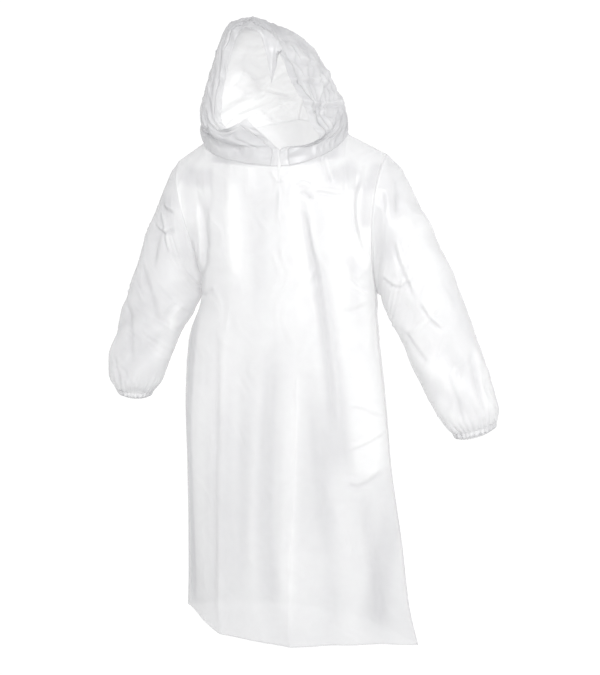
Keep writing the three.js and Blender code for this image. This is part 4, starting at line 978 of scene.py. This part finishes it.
sleeve = {
    "armholeShare": 0.4,
    # Along the arm: x and z of its outer and inner lines, y of its middle, and its depth
    "sections": {
        "right": rowsOf(
            "at outer inner y depth",
            (0, (-0.25, -0.057), (-0.191, -0.318), 0, 0.084),
            (0.07, (-0.274, -0.09), (-0.192, -0.326), 0, 0.084),
            (0.15, (-0.298, -0.146), (-0.194, -0.334), 0, 0.084),
            (0.3, (-0.331, -0.222), (-0.199, -0.358), 0, 0.082),
            (0.45, (-0.361, -0.312), (-0.211, -0.396), -0.005, 0.078),
            (0.6, (-0.389, -0.392), (-0.229, -0.432), -0.009, 0.074),
            (0.75, (-0.415, -0.47), (-0.258, -0.476), -0.014, 0.068),
            (0.88, (-0.432, -0.538), (-0.282, -0.542), -0.018, 0.062),
            (0.95, (-0.434, -0.575), (-0.303, -0.588), -0.02, 0.054),
            (1, (-0.418, -0.606), (-0.325, -0.614), -0.02, 0.042)),
        "left": rowsOf(
            "at outer inner y depth",
            (0, (0.246, -0.038), (0.227, -0.345), 0, 0.086),
            (0.07, (0.278, -0.064), (0.229, -0.35), 0, 0.086),
            (0.15, (0.306, -0.118), (0.232, -0.356), 0, 0.086),
            (0.3, (0.342, -0.188), (0.243, -0.376), 0, 0.084),
            (0.45, (0.38, -0.26), (0.262, -0.408), -0.003, 0.08),
            (0.6, (0.424, -0.356), (0.291, -0.462), -0.006, 0.076),
            (0.75, (0.463, -0.452), (0.329, -0.54), -0.012, 0.07),
            (0.88, (0.496, -0.536), (0.367, -0.606), -0.018, 0.062),
            (0.95, (0.513, -0.59), (0.389, -0.64), -0.02, 0.054),
            (1, (0.509, -0.626), (0.411, -0.658), -0.02, 0.044)),
    },
    "folds": {
        "right": rowsOf(
            "at turn along round slant depth",
            (0.3, 0.17, 0.09, 0.05, 0.35, 0.009),
            (0.42, 0.13, 0.06, 0.07, -0.6, 0.007),
            (0.2, 0.4, 0.12, 0.05, 0.3, 0.009),
            (0.34, 0.78, 0.12, 0.06, 0.4, 0.009)),
        "left": rowsOf(
            "at turn along round slant depth",
            (0.17, 0.42, 0.05, 0.08, 0.2, 0.01),
            (0.5, 0.3, 0.14, 0.05, -0.5, 0.008),
            (0.76, 0.2, 0.12, 0.04, 0.3, 0.007),
            (0.36, 0.74, 0.14, 0.06, 0.4, 0.009)),
    },
    # Creases of the back half, by turn and place
    "creases": {
        "right": [
            ("pleat", 0.006, -0.005, [(0.1, 0.2), (0.15, 0.3), (0.19, 0.42)]),
            ("pleat", 0.006, -0.005, [(0.12, 0.36), (0.17, 0.31), (0.24, 0.34)]),
            ("soft", 0.008, -0.005, [(0.07, 0.3), (0.12, 0.4), (0.13, 0.52)]),
            ("pleat", 0.009, -0.006, [(0.4, 0.06), (0.33, 0.2), (0.3, 0.34)]),
            ("soft", 0.008, -0.005, [(0.42, 0.14), (0.37, 0.32), (0.38, 0.46)]),
            ("soft", 0.008, -0.004, [(0.22, 0.6), (0.25, 0.74), (0.24, 0.9)]),
            ("pleat", 0.009, -0.006, [(0.6, 0.1), (0.68, 0.3), (0.7, 0.5)]),
            ("soft", 0.009, -0.005, [(0.8, 0.2), (0.76, 0.4), (0.78, 0.66)]),
        ],
        "left": [
            ("pleat", 0.008, -0.006, [(0.36, 0.04), (0.3, 0.2), (0.33, 0.38)]),
            ("pleat", 0.006, -0.005, [(0.26, 0.4), (0.2, 0.5), (0.14, 0.56)]),
            ("pleat", 0.006, 0.005, [(0.34, 0.52), (0.28, 0.46), (0.19, 0.44)]),
            ("soft", 0.008, -0.005, [(0.4, 0.46), (0.34, 0.58), (0.3, 0.7)]),
            ("pleat", 0.007, -0.005, [(0.14, 0.6), (0.17, 0.76), (0.2, 0.94)]),
            ("soft", 0.007, -0.004, [(0.05, 0.2), (0.09, 0.36), (0.07, 0.52)]),
            ("pleat", 0.009, -0.006, [(0.62, 0.08), (0.7, 0.28), (0.68, 0.5)]),
            ("soft", 0.009, -0.005, [(0.84, 0.3), (0.78, 0.5), (0.8, 0.76)]),
        ],
    },
    # Creases of the front half, and strokes of painted highlight and painted shade there, by x and z
    "facing": {
        "right": [
            ("pleat", 0.006, -0.007, [(-0.276, -0.163), (-0.259, -0.194), (-0.253, -0.236),
             (-0.244, -0.273)]),
            ("pleat", 0.005, -0.006, [(-0.266, -0.15), (-0.248, -0.164), (-0.228, -0.168)]),
            ("pleat", 0.005, -0.007, [(-0.29, -0.196), (-0.257, -0.216), (-0.228, -0.204)]),
            ("soft", 0.007, -0.005, [(-0.262, -0.212), (-0.282, -0.248), (-0.29, -0.3)]),
            ("soft", 0.009, -0.005, [(-0.33, -0.29), (-0.296, -0.36), (-0.276, -0.45)]),
            ("soft", 0.009, -0.005, [(-0.37, -0.37), (-0.352, -0.45), (-0.352, -0.54)]),
            ("pleat", 0.008, -0.005, [(-0.226, -0.38), (-0.256, -0.42), (-0.266, -0.48)]),
            ("soft", 0.005, -0.003, [(-0.4, -0.52), (-0.392, -0.56), (-0.394, -0.6)]),
        ],
        "left": [
            ("pleat", 0.007, -0.006, [(0.281, -0.21), (0.298, -0.269), (0.335, -0.351)]),
            ("pleat", 0.006, -0.006, [(0.339, -0.351), (0.367, -0.39), (0.396, -0.415)]),
            ("soft", 0.006, 0.005, [(0.323, -0.43), (0.358, -0.39), (0.383, -0.349)]),
            ("pleat", 0.007, -0.006, [(0.451, -0.445), (0.471, -0.522), (0.491, -0.611)]),
            ("soft", 0.007, -0.005, [(0.296, -0.42), (0.331, -0.463), (0.365, -0.495)]),
            ("soft", 0.007, -0.005, [(0.268, -0.07), (0.284, -0.12), (0.288, -0.18)]),
            ("soft", 0.008, -0.005, [(0.4, -0.5), (0.424, -0.56), (0.44, -0.63)]),
            ("pleat", 0.007, -0.005, [(0.25, -0.3), (0.29, -0.32), (0.33, -0.3)]),
        ],
    },
    "paintedShadeAndTone": {
        "right": [
            (0.026, -0.4, [(-0.262, -0.12), (-0.25, -0.23)]),
            (0.04, -0.25, [(-0.3, -0.3), (-0.33, -0.42), (-0.35, -0.56)]),
            (0.012, 0.4, [(-0.222, -0.35), (-0.262, -0.45), (-0.3, -0.56)]),
            (0.016, 0.35, [(-0.232, -0.27), (-0.23, -0.34)]),
        ],
        "left": [
            (0.022, -0.5, [(0.27, -0.09), (0.262, -0.2), (0.262, -0.3)]),
            (0.02, 0.4, [(0.3, -0.15), (0.352, -0.28), (0.42, -0.43)]),
            (0.026, 0.3, [(0.3, -0.36), (0.37, -0.48), (0.43, -0.6)]),
            (0.012, 0.5, [(0.48, -0.48), (0.504, -0.6)]),
        ],
    },
    "lengthSteps": 150,
    "turnSteps": 168,
    "girth": 0.5,  # of the arm, for laying creases and waves out on it
    "length": 0.6,
    # Waves: height, size, how much taller than wide, and lean, then the seeds of both
    "waves": {"sharp": (0.001, 0.065, 1.3, 0.6), "soft": (0.0015, 0.09, 2, -0.3),
              "seeds": {"right": (31, 35), "left": (32, 36)}},
    "frontSoft": 0.3,
    "calmNear": {"armhole": 0.05, "wrist": 0.08},
    # Painted light: the left sleeve, on the key light's side, lighter than the right, and a painted
    # highlight for a metre of rise
    "whiteness": {"right": -0.05, "left": 0.15, "perHeight": 70},
    "gathered": {"from": 0.84, "over": 0.16},
    "seamWidth": 0.003,
    "sealedShare": 0.35,
    "cut": {"right": {"flat": (0.56, 0.52), "area": 0.22}, "left": {"flat": (0.6, 0.55), "area": 0.25}},
}

cuff = {
    "ends": {
        "right": {"outer": (-0.397, -0.625), "inner": (-0.346, -0.631), "y": -0.020, "depth": 0.027},
        "left": {"outer": (0.497, -0.650), "inner": (0.431, -0.672), "y": -0.020, "depth": 0.031},
    },
    "steps": 18,
    "gathers": 24,
    "gatherHeight": 0.0022,
    "gathersGrow": {"to": 1.3, "until": 1.25, "over": 0.5},
    "bulge": 0.004,
    "bulgePower": 0.8,
    "liftUntil": 0.9,
    "normalShare": 0.3,  # how far a cuff stands out as the sleeve's end does, not from the wrist
    "elastic": {"at": 0.62, "width": 0.16, "height": 0.0016, "sealedWidth": 0.2},
    # greyer all over, darker at the elastic, which is its own tone, and a painted highlight on each gather
    "whiteness": {"all": -0.2, "elastic": -0.6, "gathers": 0.3},
    "flat": (0.27, 0.028),
}


# A section of the arm: an ellipse between its outer and inner lines
def sectionPoint(section, turn):
    out = (1 + np.cos(2 * np.pi * turn)) / 2
    inner, outer = np.asarray(section["inner"]), np.asarray(section["outer"])
    return np.stack([
        mix(inner[..., 0], outer[..., 0], out),
        section["y"] - section["depth"] * np.sin(2 * np.pi * turn),
        mix(inner[..., 1], outer[..., 1], out)], axis=-1)


# Middle of a section: its ellipse at a quarter turn, with no depth
def centreOf(section):
    return sectionPoint({**section, "depth": 0 * np.asarray(section["y"], float)}, np.array(0.25))


# The armhole: down the front's edge and up the back's, by the yoke's own curve at the side seam
def armholeRing(side, turn):
    across = np.full(np.shape(turn), -1.0 if side == "right" else 1.0)
    tip = np.array(body["shoulderTip"][side]) + 0 * turn[..., None]
    front = yokePoint("front", across, tip, np.clip(turn * 2, 0, 1))
    back = yokePoint("back", across, tip, np.clip(2 - turn * 2, 0, 1))
    return np.where((turn <= 0.5)[..., None], front, back)


# Gathers of the elastic: a cosine round the wrist, whose place wanders by two slow sines and whose
# height by another
def gatherWave(turn):
    shifted = turn + 0.009 * np.sin(2 * np.pi * 3 * turn + 1) + 0.006 * np.sin(2 * np.pi * 7 * turn)
    height = 0.75 + 0.25 * np.sin(2 * np.pi * 5 * turn + 2)
    return np.cos(2 * np.pi * cuff["gathers"] * shifted) * height


# The arm: its sections, eased out of the armhole's ring, with folds pressed towards its middle. A
# fold is a bell along the arm, slanted, times a bell round it
def sleeveGrid(side, at, turn):
    sections = sleeve["sections"][side]
    section = rowAt(sections, "at", at)
    off = armholeRing(side, turn[0]) - sectionPoint(rowAt(sections, "at", 0 * turn[0]), turn[0])
    fade = (1 - ease(at / sleeve["armholeShare"])) * (1 - at)
    grid = sectionPoint(section, turn) + off[None] * fade[..., None]
    core = centreOf(section)
    depth = 0
    for fold in sleeve["folds"][side]:
        roundOff = turn - fold["turn"]
        along = at - fold["at"] - fold["slant"] * roundOff
        depth = depth + fold["depth"] * bell(along, fold["along"]) * bell(roundOff, fold["round"])
    return grid + unit(core - grid) * (depth * clearOf(at, 1 - at))[..., None], core


# Height of the arm's creases and waves, and how much of it is in front. Creases by turn and place
# count behind, those by x and z in front, and both are eased in at the armhole and out at the wrist
def sleeveHeight(side, grid, at, turn):
    girth, length, calm = sleeve["girth"], sleeve["length"], sleeve["calmNear"]
    scaled = [(form, width, height, [(turned * girth, gone * length) for turned, gone in path])
              for form, width, height, path in sleeve["creases"][side]]
    u = girth / (2 * np.pi) * np.cos(2 * np.pi * turn)
    v = girth / (2 * np.pi) * np.sin(2 * np.pi * turn) + at * length
    inFront = ease(np.sin(2 * np.pi * turn) / sleeve["frontSoft"])
    height = creaseHeight(turn * girth, at * length, scaled) * (1 - inFront)
    height = height + creaseHeight(grid[..., 0], grid[..., 2], sleeve["facing"][side]) * inFront
    height = height + filmWaves(sleeve["waves"], side, u, v, along=at)
    return height * ease(at / calm["armhole"]) * ease((1 - at) / calm["wrist"]), inFront


# The sleeve's piece, with its look. It has a painted highlight where it rises and painted shade
# where it sinks, and gathers grow towards the cuff
def makeSleeve(side):
    turnSteps = quickSteps(sleeve["turnSteps"])
    at, turn = np.broadcast_arrays(np.linspace(0, 1, quickSteps(sleeve["lengthSteps"]) + 1)[:, None],
                                   (np.arange(turnSteps) / turnSteps)[None])
    grid, core = sleeveGrid(side, at, turn)
    height, inFront = sleeveHeight(side, grid, at, turn)
    white, gathered = sleeve["whiteness"], sleeve["gathered"]
    paintedShadeAndTone = white[side] + strokes(grid[..., 0], grid[..., 2], sleeve["paintedShadeAndTone"][side]) * inFront
    paintedShadeAndTone = paintedShadeAndTone + white["perHeight"] * height
    near = ease((at - gathered["from"]) / gathered["over"]) ** 2
    height = height + cuff["gatherHeight"] * gatherWave(turn) * near
    grid = grid + normalsOf(grid, core, ring=True) * height[..., None]
    toSeam = np.minimum(np.minimum(turn, 1 - turn), np.abs(turn - 0.5)) * sleeve["girth"]
    sealed = np.maximum(sealedBy(reachFrom(grid, 0)), sealedBy(toSeam, sleeve["seamWidth"]))
    piece = addSheet("sleeve_film_" + side, grid, core, sleeve["sealedShare"] * sealed, paintedShadeAndTone, ring=True)
    dress(piece, blownFilm, "sleeve_" + side)
    makeCuff(side, normalsOf(grid, core, ring=True)[-1], grid[-1])


# The cuff: straight lines from the sleeve's last ring to the smaller one at the wrist, lifted
# outwards by a sine, by gathers that deepen on the way, and by the elastic's own bell
def makeCuff(side, normals, ring):
    turn = np.arange(ring.shape[0]) / ring.shape[0]
    t = np.linspace(0, 1, cuff["steps"] + 1)[:, None]
    end, centre = sectionPoint(cuff["ends"][side], turn), centreOf(cuff["ends"][side])
    grow, elastic, white = cuff["gathersGrow"], cuff["elastic"], cuff["whiteness"]
    deepen = mix(0, grow["to"], ease(t)) * ease((grow["until"] - t) / grow["over"])
    bulge = cuff["bulge"] * np.sin(np.pi * t) ** cuff["bulgePower"]
    lift = bulge + cuff["gatherHeight"] * gatherWave(turn)[None] * deepen
    lift = lift * np.sin(np.pi * np.clip(t, 0, cuff["liftUntil"])) ** 0.5
    lift = lift + elastic["height"] * bell(t - elastic["at"], elastic["width"])
    outwards = unit(mix(unit(end - centre), normals, cuff["normalShare"]))
    grid = mix(ring, end[None], t[..., None]) + outwards[None] * lift[..., None]
    atElastic = bell(t - elastic["at"], elastic["sealedWidth"]) * np.ones_like(turn)
    # the cuff's tone: the elastic's own darker band, and a painted highlight on the gathers' crests
    paintedShadeAndTone = white["all"] + white["elastic"] * atElastic + white["gathers"] * gatherWave(turn)
    piece = addSheet("cuff_film_" + side, grid, centre, atElastic, paintedShadeAndTone, ring=True)
    dress(piece, sealedFilm, "cuff_" + side)


for side in ("right", "left"):
    makeSleeve(side)
print("sleeves and cuffs are made")


# Stage: a pale round floor whose edge sweeps up to a wall, so that every side has the same backdrop

stage = {
    "floor": -1.48,
    "flatRings": (0.001, 1.2, 2.4),
    "flatRadius": 3.6,
    "sweep": 1.6,
    "sweepSteps": 24,
    "wallTop": 4.5,
    "turnSteps": 96,
    "colour": "303030",
    "roughness": 0.85,
    "glow": 0.98,
}


# Profile of floor, quarter circle and wall, turned round the vertical axis
def addStage():
    angle = np.linspace(0, np.pi / 2, stage["sweepSteps"])
    radius = np.concatenate([stage["flatRings"], stage["flatRadius"] + stage["sweep"] * np.sin(angle),
                             [stage["flatRadius"] + stage["sweep"]]])
    height = np.concatenate([0 * np.array(stage["flatRings"]), stage["sweep"] * (1 - np.cos(angle)),
                             [stage["wallTop"]]])
    turn = np.linspace(0, 2 * np.pi, stage["turnSteps"], endpoint=False)
    grid = np.stack([radius[:, None] * np.cos(turn), radius[:, None] * np.sin(turn),
                     stage["floor"] + height[:, None] + 0 * turn], axis=-1)
    index = np.arange(grid[..., 0].size).reshape(-1, stage["turnSteps"])
    index = np.concatenate([index, index[:, :1]], axis=1)
    quads = np.stack([index[:-1, :-1], index[:-1, 1:], index[1:, 1:], index[1:, :-1]], axis=-1)
    mesh = bpy.data.meshes.new("studio floor")
    mesh.from_pydata(grid.reshape(-1, 3).tolist(), [], quads.reshape(-1, 4).tolist())
    mesh.polygons.foreach_set("use_smooth", np.ones(len(mesh.polygons), bool))
    floor = bpy.data.objects.new("studio_floor", mesh)
    bpy.context.scene.collection.objects.link(floor)
    # lit from behind, so that it stays evenly white and throws little light back on the film
    material, tree = newMaterial("backlit white acrylic sheet")
    sheet = addNode(tree, "ShaderNodeBsdfPrincipled", BaseColor=hexColour(stage["colour"]),
                    Roughness=stage["roughness"], EmissionColor=hexColour("FFFFFF"),
                    EmissionStrength=stage["glow"])
    addNode(tree, "ShaderNodeOutputMaterial", Surface=sheet.outputs[0])
    mesh.materials.append(material)


lights = {
    "key softbox": {"place": (1.5, -2.8, 1.1), "aim": (0, 0, -0.2), "size": (0.7, 0.9), "watts": 104},
}
surroundings = {"colour": "F6F6F8", "strength": 0.7}


# A soft rectangular light, turned so that the line from its place to its aim is its own downward
# axis: tilted by the angle from straight down, then turned to the aim's side
def addSoftbox(name, light):
    data = bpy.data.lights.new(name, "AREA")
    data.shape = "RECTANGLE"
    data.size, data.size_y = light["size"]
    data.energy = light["watts"]
    softbox = bpy.data.objects.new(name, data)
    softbox.location = light["place"]
    way = np.array(light["aim"], float) - np.array(light["place"], float)
    softbox.rotation_euler = (math.atan2(math.hypot(way[0], way[1]), -way[2]), 0,
                              math.atan2(-way[0], way[1]))
    bpy.context.scene.collection.objects.link(softbox)


addStage()
for name, light in lights.items():
    addSoftbox(name, light)

scene = bpy.context.scene
scene.world = bpy.data.worlds.new("studio")
scene.world.use_nodes = True
background = scene.world.node_tree.nodes["Background"]
background.inputs["Color"].default_value = hexColour(surroundings["colour"])
background.inputs["Strength"].default_value = surroundings["strength"]
scene.view_settings.view_transform = "Standard"
scene.cycles.transparent_max_bounces = 40  # a ray can pass a dozen layers, each with two sides
scene.cycles.max_bounces = 16
scene.cycles.transmission_bounces = 16
scene.cycles.diffuse_bounces = 8
print("stage and lights are set")
